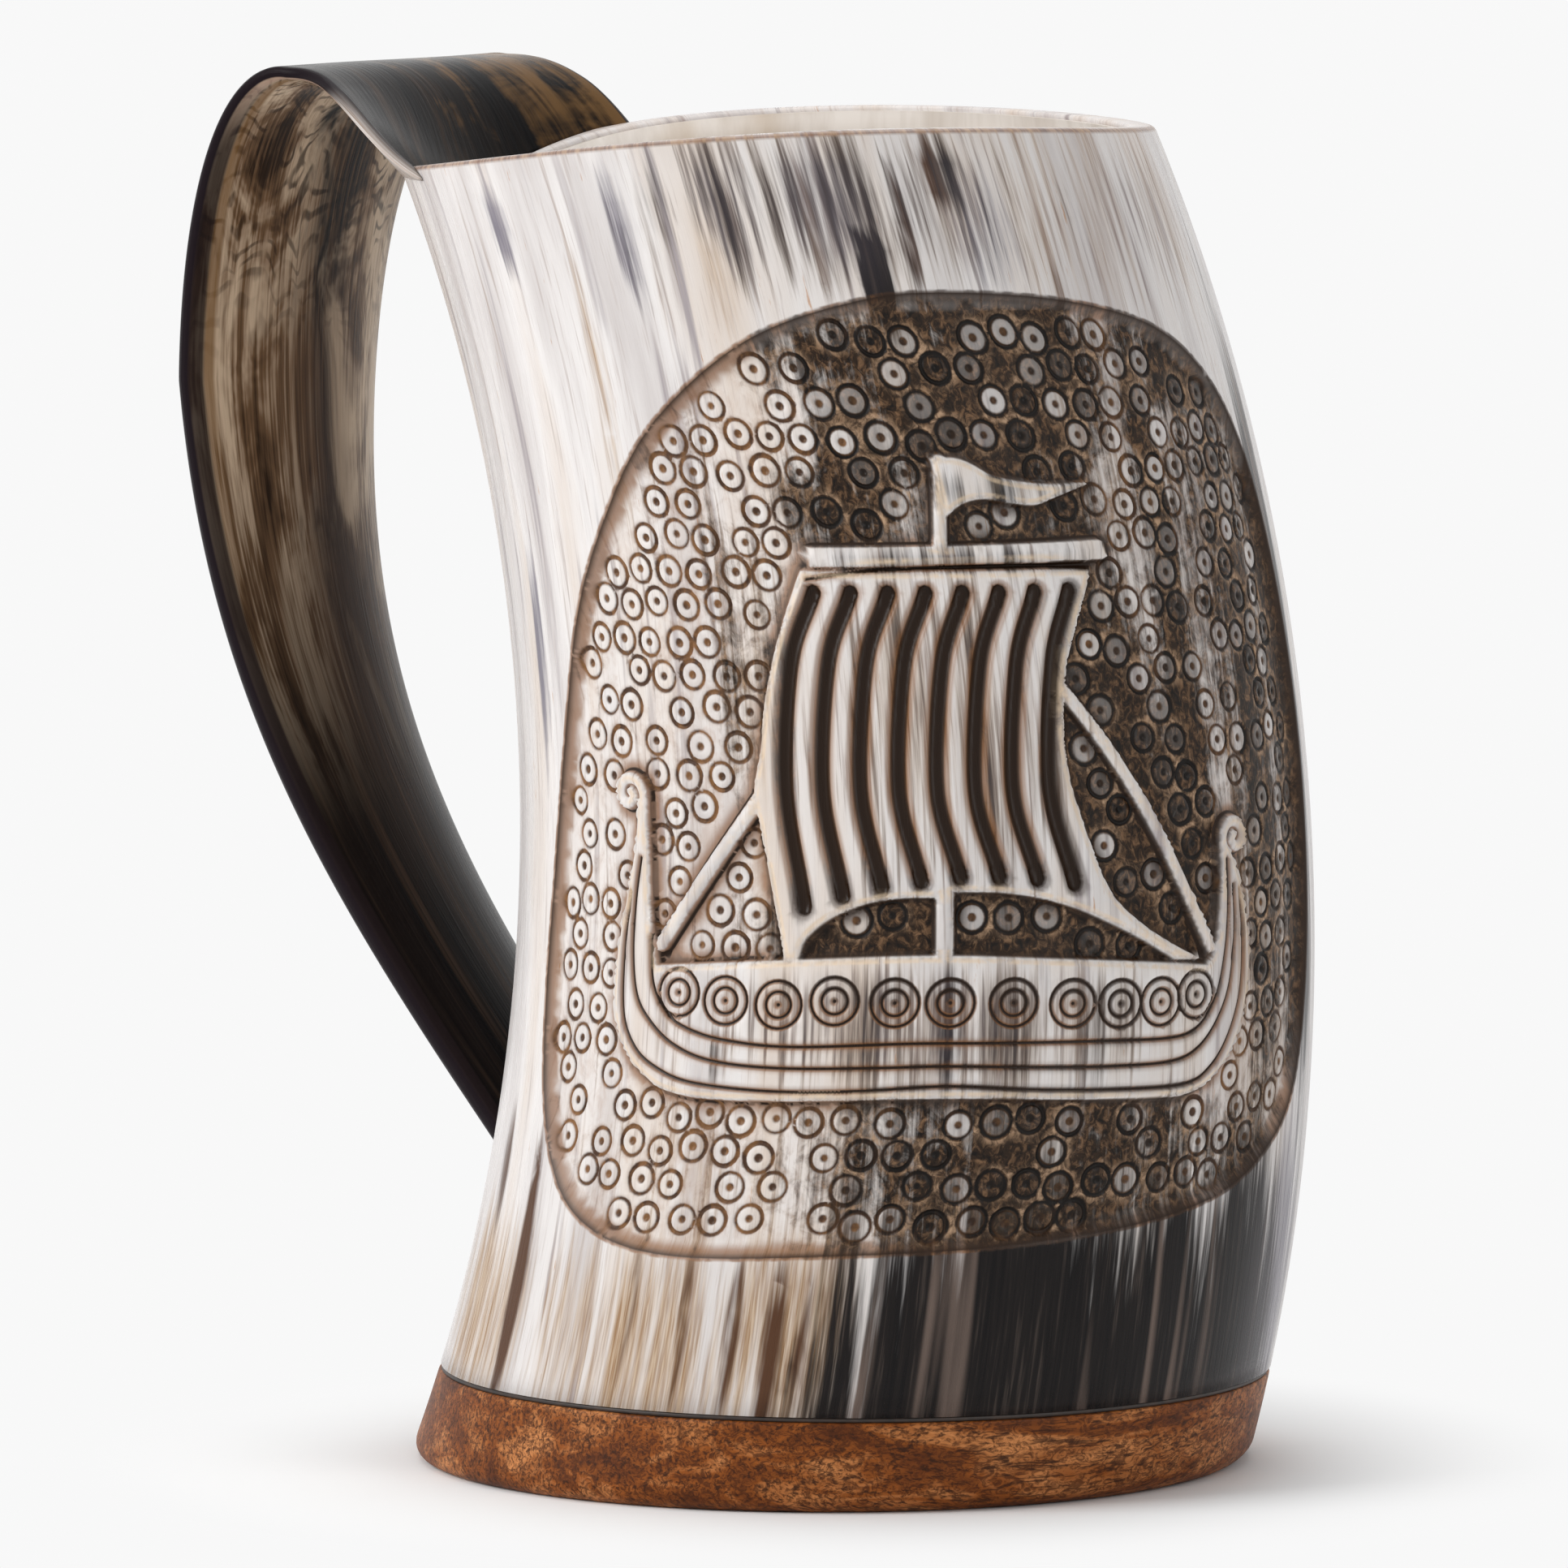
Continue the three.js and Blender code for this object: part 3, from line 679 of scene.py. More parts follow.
def map_places(u, v):
    """Places on the wall's map for baking, which gives the panel most of its width."""
    inner = np.clip(u, -PANEL_HALF, PANEL_HALF)
    panel = MAP_PANEL * inner / PANEL_HALF
    rest = (1 - MAP_PANEL) * (u - inner) / (HALF_ROUND - PANEL_HALF)
    return np.stack([0.5 + 0.5 * (panel + rest), v], -1)


def wall_triangles():
    """Points of the unrolled wall, and triangles between them that face outwards."""
    found = delaunay_2d_cdt([Vector(p) for p in wall_points().tolist()], [], [], 0, SAME_POINT)
    flat = np.array([tuple(p) for p in found[0]])
    triangles = np.array(found[2])
    corners = flat[triangles]
    turn = np.cross(corners[:, 1] - corners[:, 0], corners[:, 2] - corners[:, 0])
    triangles[turn < 0] = triangles[turn < 0][:, ::-1]
    return flat, triangles


def close_seam(flat, triangles):
    """Triangles whose right-hand seam uses the left-hand seam's points."""
    swap = np.arange(len(flat))
    left = {round(v, SEAM_DIGITS): i for i, (u, v) in enumerate(flat) if u < SEAM_NEAR - HALF_ROUND}
    for i in np.nonzero(flat[:, 0] > HALF_ROUND - SEAM_NEAR)[0]:
        swap[i] = left[round(flat[i, 1], SEAM_DIGITS)]
    return swap[triangles]


def border(flat, v):
    """Points at one end of the wall from left to right, without the right-hand seam."""
    found = np.nonzero(np.abs(flat[:, 1] - v) < SAME_HEIGHT)[0]
    return found[np.argsort(flat[found, 0])][:-1]


def rim_rings(angle):
    """Rings over the rounded rim, and down the inside of the wall."""
    height = rim_height(angle)
    rings = []
    for turn in RIM_TURNS:
        rise = RIM_EDGE * math.sin(turn * DEG) - RIM_EDGE
        rings.append(on_horn(angle, height + rise, RIM_EDGE * (math.cos(turn * DEG) - 1)))
    for turn in (*RIM_TURNS[::-1], 0):
        rise = RIM_EDGE * math.sin(turn * DEG) - RIM_EDGE
        rings.append(on_horn(angle, height + rise, -WALL + RIM_EDGE * (1 - math.cos(turn * DEG))))
    for row in range(1, INNER_ROWS + 1):
        share = row / INNER_ROWS
        rings.append(on_horn(angle, (height - RIM_EDGE) * (1 - share) + HORN_BOTTOM * share, -WALL))
    return rings


def ring_quads(rings):
    """Faces between rings of point numbers, and their places on the map."""
    columns = np.linspace(-HALF_ROUND, HALF_ROUND, COLUMNS + 1)
    last = len(rings) - 1
    faces, places = [], []
    for row, (low, high) in enumerate(zip(rings, rings[1:])):
        near, away = (MAP_INSIDE * (1 - k / last) for k in (row, row + 1))
        for i in range(COLUMNS):
            j = (i + 1) % COLUMNS
            faces.append((low[i], low[j], high[j], high[i]))
            places.append(map_places(columns[[i, i + 1, i + 1, i]], np.array([near, near, away, away])))
    return faces, places


def horn_shell():
    flat, triangles = wall_triangles()
    u, v = flat.T
    angle = PANEL_ANGLE * DEG + u / PANEL_RADIUS
    z = wall_height(angle, v)
    in_panel = (np.abs(u) < PANEL_HALF) & (v > PANEL_LOW - PANEL_MARGIN) & (v < PANEL_HIGH + PANEL_MARGIN)
    values = np.zeros((1 + len(WALL_VALUES), len(flat)))
    values[:, in_panel] = relief(flat[in_panel])
    top = border(flat, BODY_HEIGHT)
    inner = rim_rings(angle[top])
    points = np.vstack([on_horn(angle, z, values[0]), *inner])
    numbers = len(flat) + np.arange(len(inner) * COLUMNS).reshape(-1, COLUMNS)
    quads, quad_places = ring_quads([top, *numbers, border(flat, HORN_BOTTOM)])
    corner_u, corner_v = flat[triangles].reshape(-1, 2).T
    rise = (corner_v - HORN_BOTTOM) / (BODY_HEIGHT - HORN_BOTTOM)
    places = [map_places(corner_u, MAP_WALL + (1 - MAP_WALL) * rise), *quad_places]
    faces = close_seam(flat, triangles).tolist() + quads
    used = np.unique(np.concatenate([np.ravel(face) for face in faces]))
    order = np.full(len(points), -1)
    order[used] = np.arange(len(used))
    faces = [tuple(int(order[i]) for i in face) for face in faces]
    piece = new_piece("horn_shell", points[used], faces, "pale_horn", "horn_body")
    layer = piece.data.uv_layers.new(name="OFBake")
    layer.data.foreach_set("uv", np.vstack(places).astype(np.float32).ravel())
    plain = np.zeros(numbers.size)
    for name, row in zip(WALL_VALUES, values[1:]):
        set_values(piece, name, np.concatenate([row, plain])[used])
    set_horn_values(piece, np.concatenate([u, np.tile(u[top], len(inner))])[used], points[used][:, 2])
    cut_ends = (CUT_END,) * (len(inner) - len(RIM_LINE))
    below = np.concatenate([rim_height(angle) - z, np.repeat(RIM_LINE + cut_ends, COLUMNS)])
    set_values(piece, "edge", fade(below, 0, RIM_LINE_DEPTH)[used])
    return piece


# How strongly the fibres bow, and the height where they run straight up
FIBRE_BOW = 0.0006
BOW_FROM = 82
TONE_EDGE = 1.5
# Broad tones of the horn: place in the drawing, half width, half height and amount
TONES = {
    "dark": [
        (13, 4, 25, 42, 1.0), (31, 6, 12, 38, 0.95), (45, 4, 14, 40, 1.0), (3, 142, 2, 7, 0.95),
        (8.5, 149, 1.4, 11, 0.5), (16, 154, 3, 6, 0.62), (-8, 149, 4, 10, 0.36), (18, 146, 4, 10, 0.42),
        (32, 150, 1.3, 7, 0.42), (-26, 147, 1.6, 10, 0.36), (0, 150, 26, 12, 0.42),
        (-20, 152, 2, 9, 0.4), (3, 156, 30, 3, 0.36), (0, 56, 1.8, 10, 0.66), (-27, 53, 1.6, 5, 0.5),
        (17, 55, 3, 9, 0.46), (-3, 56, 38, 9, 0.4), (0, 88, 20, 26, 0.34), (12, 118, 12, 3, 0.46),
        (4, 110, 20, 2.2, 0.42), (57, 88, 3.5, 58, 0.9), (-120, 40, 18, 60, 0.6),
        (118, 60, 22, 70, 0.7), (100, 25, 30, 20, 0.8),
    ],
    "soot": [
        (12, 40, 28, 13, 0.8), (41, 38, 14, 10, 0.55), (-5, 122, 7, 12, 0.76), (13, 130, 18, 15, 1.0),
        (-4, 133, 12, 6, 0.7), (42, 112, 17, 32, 0.52), (-9, 116, 7, 6, 0.85), (12, 115, 13, 6, 0.8),
        (33, 108, 4, 34, 0.8), (47, 92, 6, 52, 0.8), (57, 88, 6, 60, 0.95), (46, 132, 15, 9, 0.9),
        (20, 84, 8, 30, 1.0), (31, 80, 7, 24, 0.9), (25, 70, 9, 10, 0.8), (8, 67, 26, 7, 1.2),
        (-10, 67, 12, 7, 1.2), (-22, 96, 6, 18, 0.32),
    ],
    "amber": [
        (-60, 20, 12, 15, 0.62), (-30, 18, 20, 18, 0.56), (-14, 20, 9, 16, 0.68),
        (-16, 142, 2.5, 9, 0.5), (-36, 126, 1.8, 18, 0.45), (16, 151, 5, 10, 0.5),
        (28, 122, 8, 16, 0.3), (-26, 40, 20, 10, 0.3), (-22, 95, 5, 18, 0.4), (46, 60, 12, 34, 0.4),
        (40, 150, 26, 14, 0.36), (-3, 56, 40, 9, 0.44), (0, 90, 18, 20, 0.42), (2, 150, 25, 12, 0.34),
        (-100, 120, 20, 40, 0.35), (100, 110, 22, 40, 0.4),
    ],
    "grey": [
        (-45, 147, 2.5, 7, 0.9), (-57.5, 97, 1.8, 18, 0.9), (-26, 147, 2.5, 11, 0.8),
        (-12, 150, 7, 11, 0.55), (18, 147, 6, 11, 0.7), (0, 150, 7, 10, 0.7), (8, 151, 30, 9, 0.45),
        (56, 20, 8, 30, 0.85), (42, 148, 26, 14, 0.5), (-5, 57, 40, 9, 0.5), (0, 90, 20, 24, 0.4),
        (-85, 90, 8, 60, 0.55), (80, 70, 14, 70, 0.6),
    ],
    "brown": [
        (-53, 24, 1.5, 19, 1.0), (-63, 37, 2, 10, 0.7), (-20, 20, 1.3, 14, 0.7),
        (-15, 18, 1.6, 15, 0.85), (-11.5, 19, 1.2, 12, 0.75), (-26, 21, 1.1, 13, 0.6),
        (14.5, 154, 2, 6, 0.8), (8.5, 148, 1.4, 10, 0.7), (-3, 145, 1.2, 9, 0.55),
        (26, 140, 1.2, 8, 0.4), (-33, 22, 1.2, 14, 0.5),
    ],
}


def set_horn_values(piece, u, z):
    """Where a point lies along the horn's fibres, and the broad tones there."""
    angle = PANEL_ANGLE * DEG + (u - fibre_bow(z)) / PANEL_RADIUS
    fibre = np.stack([PANEL_RADIUS * np.cos(angle), PANEL_RADIUS * np.sin(angle), z], 1)
    set_values(piece, "fibre", fibre)
    for name, patches in TONES.items():
        set_values(piece, name, tone(u, z, patches))


def fibre_bow(z):
    """How far a fibre lies to the right at a height: the fibres are straighter than the bent horn."""
    return FIBRE_BOW * (z - BOW_FROM) ** 2


def tone(u, z, patches):
    """The strongest of some patches that lie along the fibres."""
    total = np.zeros(len(u))
    for u0, z0, half_u, half_z, amount in patches:
        du = u - fibre_bow(z) - u0 + fibre_bow(z0)
        du = (du + HALF_ROUND) % (2 * HALF_ROUND) - HALF_ROUND
        apart = (du / half_u) ** 2 + ((z - z0) / half_z) ** 2
        total = np.maximum(total, amount * np.exp(-(apart**TONE_EDGE)))
    return total


# Handle strip


def bezier(a, b, c, d, t):
    t = t[:, None]
    return a * (1 - t) ** 3 + 3 * b * t * (1 - t) ** 2 + 3 * c * t**2 * (1 - t) + d * t**3


def bezier_way(a, b, c, d, t):
    t = t[:, None]
    way = (b - a) * (1 - t) ** 2 + 2 * (c - b) * t * (1 - t) + (d - c) * t**2
    return way / np.linalg.norm(way, axis=1, keepdims=True)


def handle_curves():
    """The middle line of the strip as three curves in the XZ plane."""

    def wall_x(z):
        return float(axis_offset(z) - outer_radius(z))

    root_z = float(rim_height(math.pi))
    root = np.array([wall_x(root_z), root_z])
    lean = np.array([wall_x(root_z) - wall_x(root_z - 1), 1])
    lean /= np.linalg.norm(lean)
    apex = root + [-APEX_OUT, APEX_RISE]
    widest = root + [-REACH, -REACH_DROP]
    foot = np.array([wall_x(FOOT_HEIGHT), FOOT_HEIGHT])
    foot_way = np.array([math.sin(FOOT_LEAN * DEG), -math.cos(FOOT_LEAN * DEG)])
    fall = widest[1] - foot[1]
    left, down = np.array([-1, 0]), np.array([0, -1])
    run, drop = apex - widest
    return [
        (root, root + lean * TOP_ROUNDNESS * APEX_RISE, apex - left * TOP_ROUNDNESS * APEX_OUT, apex),
        (apex, apex + left * TOP_ROUNDNESS * run, widest - down * TOP_ROUNDNESS * drop, widest),
        (widest, widest + down * WIDEST_STIFFNESS * fall, foot - foot_way * FOOT_STIFFNESS * fall, foot),
    ]


CURVES = handle_curves()


def strip_sizes():
    """At the ends of the curves: how sharply the strip is guttered, its thickness, and how far its near and
    far edges lie from its middle."""
    root = float(outer_radius(rim_height(math.pi)))
    return np.array([
        (1 / root, WALL, ROOT_NEAR_ANGLE * DEG * root, ROOT_FAR_ANGLE * DEG * root),
        (1 / APEX_GUTTER, APEX_THICKNESS, APEX_NEAR_WIDTH, APEX_FAR_WIDTH),
        (1 / REACH_GUTTER, REACH_THICKNESS, REACH_HALF_WIDTH, REACH_HALF_WIDTH),
        (1 / FOOT_GUTTER, FOOT_THICKNESS, FOOT_HALF_WIDTH, FOOT_HALF_WIDTH),
    ])


SIZES = strip_sizes()
FOOT_RUN_ON = 0.35


def strip_points(s, across, depth):
    """Points of the strip: s along the curves (0 to 3, and a little past the foot), across from -1 at the
    near edge to 1 at the far one, and depth from 0 on the inner face to 1 on the outer one."""
    s, across, depth = np.broadcast_arrays(np.asarray(s, float), across, depth)
    index = np.clip(np.floor(s).astype(int), 0, 2)
    t = s - index
    point = np.zeros((len(s), 2))
    way = np.zeros((len(s), 2))
    size = np.zeros((len(s), 4))
    for k in range(3):
        here = index == k
        inner = np.clip(t[here], 0, 1)
        point[here] = bezier(*CURVES[k], inner)
        way[here] = bezier_way(*CURVES[k], inner)
        along = (1 - (1 - inner) ** SIZE_EASE[k])[:, None]
        size[here] = SIZES[k] * (1 - along) + SIZES[k + 1] * along
    length = np.linalg.norm(CURVES[2][3] - CURVES[2][0])
    point += way * (np.clip(s - 3, 0, None) * length)[:, None]
    turn = np.where(index == 0, smooth(t / ROOT_TURN), 1)[:, None]
    square = np.stack([way[:, 1], -way[:, 0]], 1)
    normal = np.array([1.0, 0.0]) * (1 - turn) + square * turn
    normal /= np.linalg.norm(normal, axis=1, keepdims=True)
    bend, thickness, near, far = size.T
    gutter = 1 / bend
    angle = across * np.where(across < 0, near, far) * bend
    edge = np.minimum(np.abs(across), 1)
    radius = gutter - depth * thickness * (1 - EDGE_TAPER * edge**2)
    out = gutter - radius * np.cos(angle)
    middle = point + normal * out[:, None]
    return np.stack([middle[:, 0], radius * np.sin(angle), middle[:, 1]], 1)


STRIP_ACROSS = 36
STRIP_ALONG = 190
NOSE_STEPS = 5
NOSE_REACH = 0.03
RUN_SAMPLES = 1400
WALL_CLEAR = 0.12
RIM_CLEAR = 0.02
# The strip's place in its material's fibres, in millimetres: across, through and along
FIBRE_SPAN = (22, 6, 38)
FIBRE_START = 300


def strip_section():
    """Across and depth round one section: the outer face, the far nose, the inner face, the near nose."""
    face = np.linspace(-1, 1, STRIP_ACROSS + 1)
    turn = np.linspace(0, math.pi, NOSE_STEPS + 2)[1:-1]
    nose = 1 + NOSE_REACH * np.sin(turn)
    drop = (1 + np.cos(turn)) / 2
    across = np.concatenate([face, nose, face[::-1], -nose])
    depth = np.concatenate([np.ones_like(face), drop, np.zeros_like(face), drop[::-1]])
    return across, depth


def free_run(across, depth):
    """The stretch of s over which a line of the strip is clear of the wall."""
    s = np.linspace(0, 3 + FOOT_RUN_ON, RUN_SAMPLES)
    p = strip_points(s, across, depth)
    angle = np.arctan2(p[:, 1], p[:, 0] - axis_offset(p[:, 2]))
    out = np.hypot(p[:, 0] - axis_offset(p[:, 2]), p[:, 1]) - outer_radius(p[:, 2])
    buried = (out < WALL_CLEAR) & (p[:, 2] < rim_height(angle) + RIM_CLEAR)
    half = len(s) // 2
    start = np.nonzero(buried[:half])[0]
    end = np.nonzero(buried[half:])[0]
    first = s[start[-1] + 1] if len(start) else s[0]
    last = s[half + end[0]] if len(end) else s[-1]
    return first, last


def strip_ends(count):
    """Faces that close the strip's two ends: quads from face to face, and a fan at each nose."""
    half = STRIP_ACROSS + 1 + NOSE_STEPS
    closing = []
    for i in range(STRIP_ACROSS):
        j = half + STRIP_ACROSS - i
        closing.append((i, i + 1, j - 1, j))
    closing.append(tuple(range(STRIP_ACROSS, half + 1)))
    closing.append((*range(half + STRIP_ACROSS, count), 0))
    last = STRIP_ALONG * count
    return closing + [tuple(last + i for i in face[::-1]) for face in closing]


def handle_strip():
    across, depth = strip_section()
    count = len(across)
    rows = []
    for a, d in zip(across, depth):
        s = np.linspace(*free_run(a, d), STRIP_ALONG + 1)
        rows.append((s, strip_points(s, a, d)))
    s = np.stack([row[0] for row in rows], 1).ravel()
    points = np.stack([row[1] for row in rows], 1).reshape(-1, 3)
    faces = [face[::-1] for face in ring_faces(STRIP_ALONG + 1, count)] + strip_ends(count)
    piece = new_piece("handle_strip", points, faces, "dark_horn", "horn_handle")
    across, depth = (np.tile(part, STRIP_ALONG + 1) for part in (across, depth))
    fibre = np.stack([across, depth, s], 1) * FIBRE_SPAN
    fibre[:, 0] += FIBRE_START
    for name, values in (("along", s), ("across", across), ("face", depth), ("fibre", fibre)):
        set_values(piece, name, values)
    return piece


# Turned base, glue line, coat and pegs

AROUND = 144
QUARTER = (0, 30, 60, 90)
FOOT_STEPS = 8
FLANGE_ROWS = (0.3, 0.6, 0.9)
FLANGE_ROUND = 0.4
GLUE_HOLLOW = 0.1
COAT_ROWS = 24
COAT_FILLET = 3
PEG_SIDES = 24
# A peg's domed end: shares of its radius, and depths
PEG_DOME = [(0.6, -0.1), (0.9, 0.0), (1.0, 0.15)]
PEG_SHORT = 0.1


def horn_ring(z, outward):
    angle = np.arange(AROUND) * 2 * math.pi / AROUND
    return on_horn(angle, z if np.ndim(z) else np.full(AROUND, float(z)), outward)


def capped(rings):
    """Faces of a lathe form whose first and last rings are closed by flat caps."""
    faces = ring_faces(len(rings), AROUND)
    last = (len(rings) - 1) * AROUND
    faces.append(tuple(range(AROUND))[::-1])
    faces.append(tuple(last + i for i in range(AROUND)))
    return faces


def turned_base():
    rings = []
    for step in range(FOOT_STEPS + 1):
        turn = step / FOOT_STEPS * math.pi / 2
        rings.append(horn_ring(FLANGE_EDGE * (1 - math.cos(turn)), FLANGE_EDGE * (math.sin(turn) - 1)))
    for share in FLANGE_ROWS:
        rings.append(horn_ring(FLANGE_EDGE + share * (FLANGE_HEIGHT - FLANGE_EDGE), 0))
    for turn in QUARTER:
        height = FLANGE_HEIGHT - FLANGE_ROUND * (1 - math.sin(turn * DEG))
        rings.append(horn_ring(height, FLANGE_ROUND * (math.cos(turn * DEG) - 1)))
    rings.append(horn_ring(FLANGE_HEIGHT, -WALL - FIT))
    rings.append(horn_ring(SPIGOT_TOP, -WALL - FIT))
    return new_piece("turned_base", np.vstack(rings), capped(rings), "base_wood", "wooden_base")


def glue_line():
    rings = [
        horn_ring(FLANGE_HEIGHT, -GLUE_INSET),
        horn_ring(FLANGE_HEIGHT + GLUE_THICKNESS / 2, GLUE_HOLLOW - GLUE_INSET),
        horn_ring(HORN_BOTTOM, -GLUE_INSET),
        horn_ring(HORN_BOTTOM, -WALL),
        horn_ring(FLANGE_HEIGHT, -WALL),
    ]
    faces = ring_faces(len(rings), AROUND, closed=True)
    return new_piece("glue_line", np.vstack(rings), faces, "glue", "base_glue_ring")


def inner_coat():
    top = rim_height(np.arange(AROUND) * 2 * math.pi / AROUND) - LINING_BELOW_RIM
    outside = -WALL - FIT
    within = outside - LINING_THICKNESS
    floor = SPIGOT_TOP + LINING_THICKNESS
    shares = np.arange(COAT_ROWS + 1) / COAT_ROWS
    rings = [horn_ring(SPIGOT_TOP + (top - SPIGOT_TOP) * share, outside) for share in shares]
    rings += [horn_ring(top + (floor + COAT_FILLET - top) * share, within) for share in shares]
    for turn in QUARTER[1:]:
        height = floor + COAT_FILLET * (1 - math.sin(turn * DEG))
        rings.append(horn_ring(height, within - COAT_FILLET * (1 - math.cos(turn * DEG))))
    return new_piece("inner_coat", np.vstack(rings), capped(rings), "inner_coat", "inner_lining")


def peg(name, outer, way, length):
    """A round peg with a softly domed end at outer, running along way into the horn."""
    way = Vector(way).normalized()
    side = way.orthogonal().normalized()
    up = way.cross(side)
    profile = [*PEG_DOME, (1.0, length)]
    points = []
    for share, depth in profile:
        for i in range(PEG_SIDES):
            turn = i * 2 * math.pi / PEG_SIDES
            spoke = (side * math.cos(turn) + up * math.sin(turn)) * share * PEG_RADIUS
            points.append(tuple(Vector(outer) + way * depth + spoke))
    faces = ring_faces(len(profile), PEG_SIDES)
    faces.append(tuple(range(PEG_SIDES))[::-1])
    faces.append(tuple((len(profile) - 1) * PEG_SIDES + i for i in range(PEG_SIDES)))
    return new_piece(name + "_head", points, faces, "peg_horn", name)


def pegs():
    made = []
    for side, sign in (("near", 1), ("far", -1)):
        angle = math.pi + sign * ROOT_PEG_SHARE * LAP_HALF_ANGLE * DEG
        z = float(rim_height(angle)) - LAP_HEIGHT / 2
        outer = on_horn(np.array(angle), np.array(z), 0.0)
        inwards = (-math.cos(angle), -math.sin(angle), 0)
        made.append(peg(f"root_peg_{side}", outer, inwards, WALL - PEG_SHORT))
        low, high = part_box(f"foot_peg_{side}")
        outer = (low[0] / MM, (low[1] + high[1]) / 2 / MM, (low[2] + high[2]) / 2 / MM)
        made.append(peg(f"foot_peg_{side}", outer, (1, 0, 0), (high[0] - low[0]) / MM))
    return made


# Materials


def linear(tint):
    """A colour that is written as it looks on screen, from 0 to 255, as a shader takes it."""
    shares = [c / 255 for c in tint]
    return (*(c / 12.92 if c <= 0.04045 else ((c + 0.055) / 1.055) ** 2.4 for c in shares), 1.0)


class Nodes:
    """A tree of shader nodes. Each way of adding to it gives an output that others can use."""

    def __init__(self, tree, output):
        self.tree = tree
        tree.nodes.clear()
        self.end = self.make(output).inputs[0]

    def put(self, socket, value):
        if isinstance(value, bpy.types.NodeSocket):
            self.tree.links.new(value, socket)
        else:
            socket.default_value = value

    def put_all(self, node, inputs):
        for key, value in inputs.items():
            self.put(node.inputs[key], value)

    def make(self, kind, inputs=None, **settings):
        node = self.tree.nodes.new("ShaderNode" + kind)
        for key, value in settings.items():
            setattr(node, key, value)
        self.put_all(node, inputs or {})
        return node

    def value(self, name):
        return self.make("Attribute", attribute_name=name).outputs["Fac"]

    def vector(self, name):
        return self.make("Attribute", attribute_name=name).outputs["Vector"]

    def position(self):
        return self.make("TexCoord").outputs["Object"]

    def maths(self, operation, a, b=0.0):
        return self.make("Math", {0: a, 1: b}, operation=operation).outputs[0]

    def fold(self, operation, values):
        total = values[0]
        for value in values[1:]:
            total = self.maths(operation, total, value)
        return total

    def times(self, *values):
        return self.fold("MULTIPLY", values)

    def plus(self, *values):
        return self.fold("ADD", values)

    def minus(self, a, b):
        return self.maths("SUBTRACT", a, b)

    def noise(self, vector, scale, detail, roughness=0.5, distortion=0.0):
        """Noise whose scale is given for each axis."""
        stretched = self.make("VectorMath", {0: vector, 1: scale}, operation="MULTIPLY").outputs[0]
        inputs = {"Vector": stretched, "Scale": 1.0, "Detail": detail}
        inputs.update({"Roughness": roughness, "Distortion": distortion})
        return self.make("TexNoise", inputs).outputs[0]

    def noises(self, vector, kinds):
        """Noises by name, from the scale across the fibres, the scale along them and the settings."""
        made = {}
        for name, (across, along, *settings) in kinds.items():
            made[name] = self.noise(vector, (across, across, along), *settings)
        return made

    def shares(self, known, shares):
        """The sum of some values, each times its share."""
        return self.plus(*[self.times(known[name], share) for name, share in shares.items()])

    def step(self, value, span):
        """A soft step from 0 at the first end of a span to 1 at the second."""
        inputs = {"Value": value, "From Min": span[0], "From Max": span[1]}
        return self.make("MapRange", inputs, interpolation_type="SMOOTHSTEP").outputs[0]

    def spread(self, value, span):
        """A value from 0 to 1 spread over a span."""
        return self.make("MapRange", {"Value": value, "To Min": span[0], "To Max": span[1]}).outputs[0]

    def ramp(self, factor, stops):
        node = self.make("ValToRGB", {0: factor})
        elements = node.color_ramp.elements
        for place, _ in stops[1:-1]:
            elements.new(place)
        for element, (place, tint) in zip(elements, stops):
            element.position = place
            element.color = linear(tint)
        return node.outputs[0]

    def ramps(self, known, kinds):
        """Ramps by name, from the noise that each follows and its stops."""
        return {name: self.ramp(known[noise], stops) for name, (noise, *stops) in kinds.items()}

    def cover(self, look, tint, *factors):
        """A look with a colour laid over it, as strongly as the product of the factors."""
        return self.make("Mix", {0: self.times(*factors), 6: look, 7: tint}, data_type="RGBA").outputs[2]

    def layered(self, known, look, layers):
        """A look under layers: each a colour or known look, an amount, and known values or steps of some."""
        for tint, amount, *factors in layers:
            parts = [known[f] if isinstance(f, str) else self.step(known[f[0]], f[1:]) for f in factors]
            tint = known[tint] if isinstance(tint, str) else linear(tint)
            look = self.cover(look, tint, *parts, amount)
        return look

    def bump(self, height, strength, depth):
        inputs = {"Height": height, "Strength": strength, "Distance": depth * MM}
        return self.make("Bump", inputs).outputs[0]

    def seen(self):
        """1 for rays that show what they meet: the camera's, and those mirrored or let through."""
        path = self.make("LightPath").outputs
        kinds = ("Is Camera Ray", "Is Glossy Ray", "Is Transmission Ray")
        return self.fold("MAXIMUM", [path[kind] for kind in kinds])

    def finish_mixed(self, factor, plain, other):
        mixed = self.make("MixShader", {0: factor, 1: plain.outputs[0], 2: other.outputs[0]})
        self.put(self.end, mixed.outputs[0])


def new_material(name):
    material = bpy.data.materials.new(name)
    material.use_nodes = True
    nodes = Nodes(material.node_tree, "OutputMaterial")
    shader = nodes.make("BsdfPrincipled")
    nodes.put(nodes.end, shader.outputs[0])
    return material, nodes, shader


# Horn: noises by scale across and along the fibres, detail, roughness and distortion
HORN_NOISES = {
    "broad": (0.12, 0.012, 3, 0.55),
    "band": (0.42, 0.018, 3, 0.62, 0.25),
    "fine": (1.5, 0.055, 3, 0.6),
    "hair": (4.5, 0.16, 2),
    "fleck": (1.1, 0.12, 4, 0.7),
    "wide": (0.26, 0.01, 3, 0.55),
    "lines": (0.34, 0.012, 2),
    "cloud": (0.5, 0.35, 4, 0.65, 0.6),
    "grit": (1.0, 0.8, 4, 0.65, 0.8),
}
MIXED_SHARES = {"band": 0.6, "wide": 0.6, "fine": 0.8}
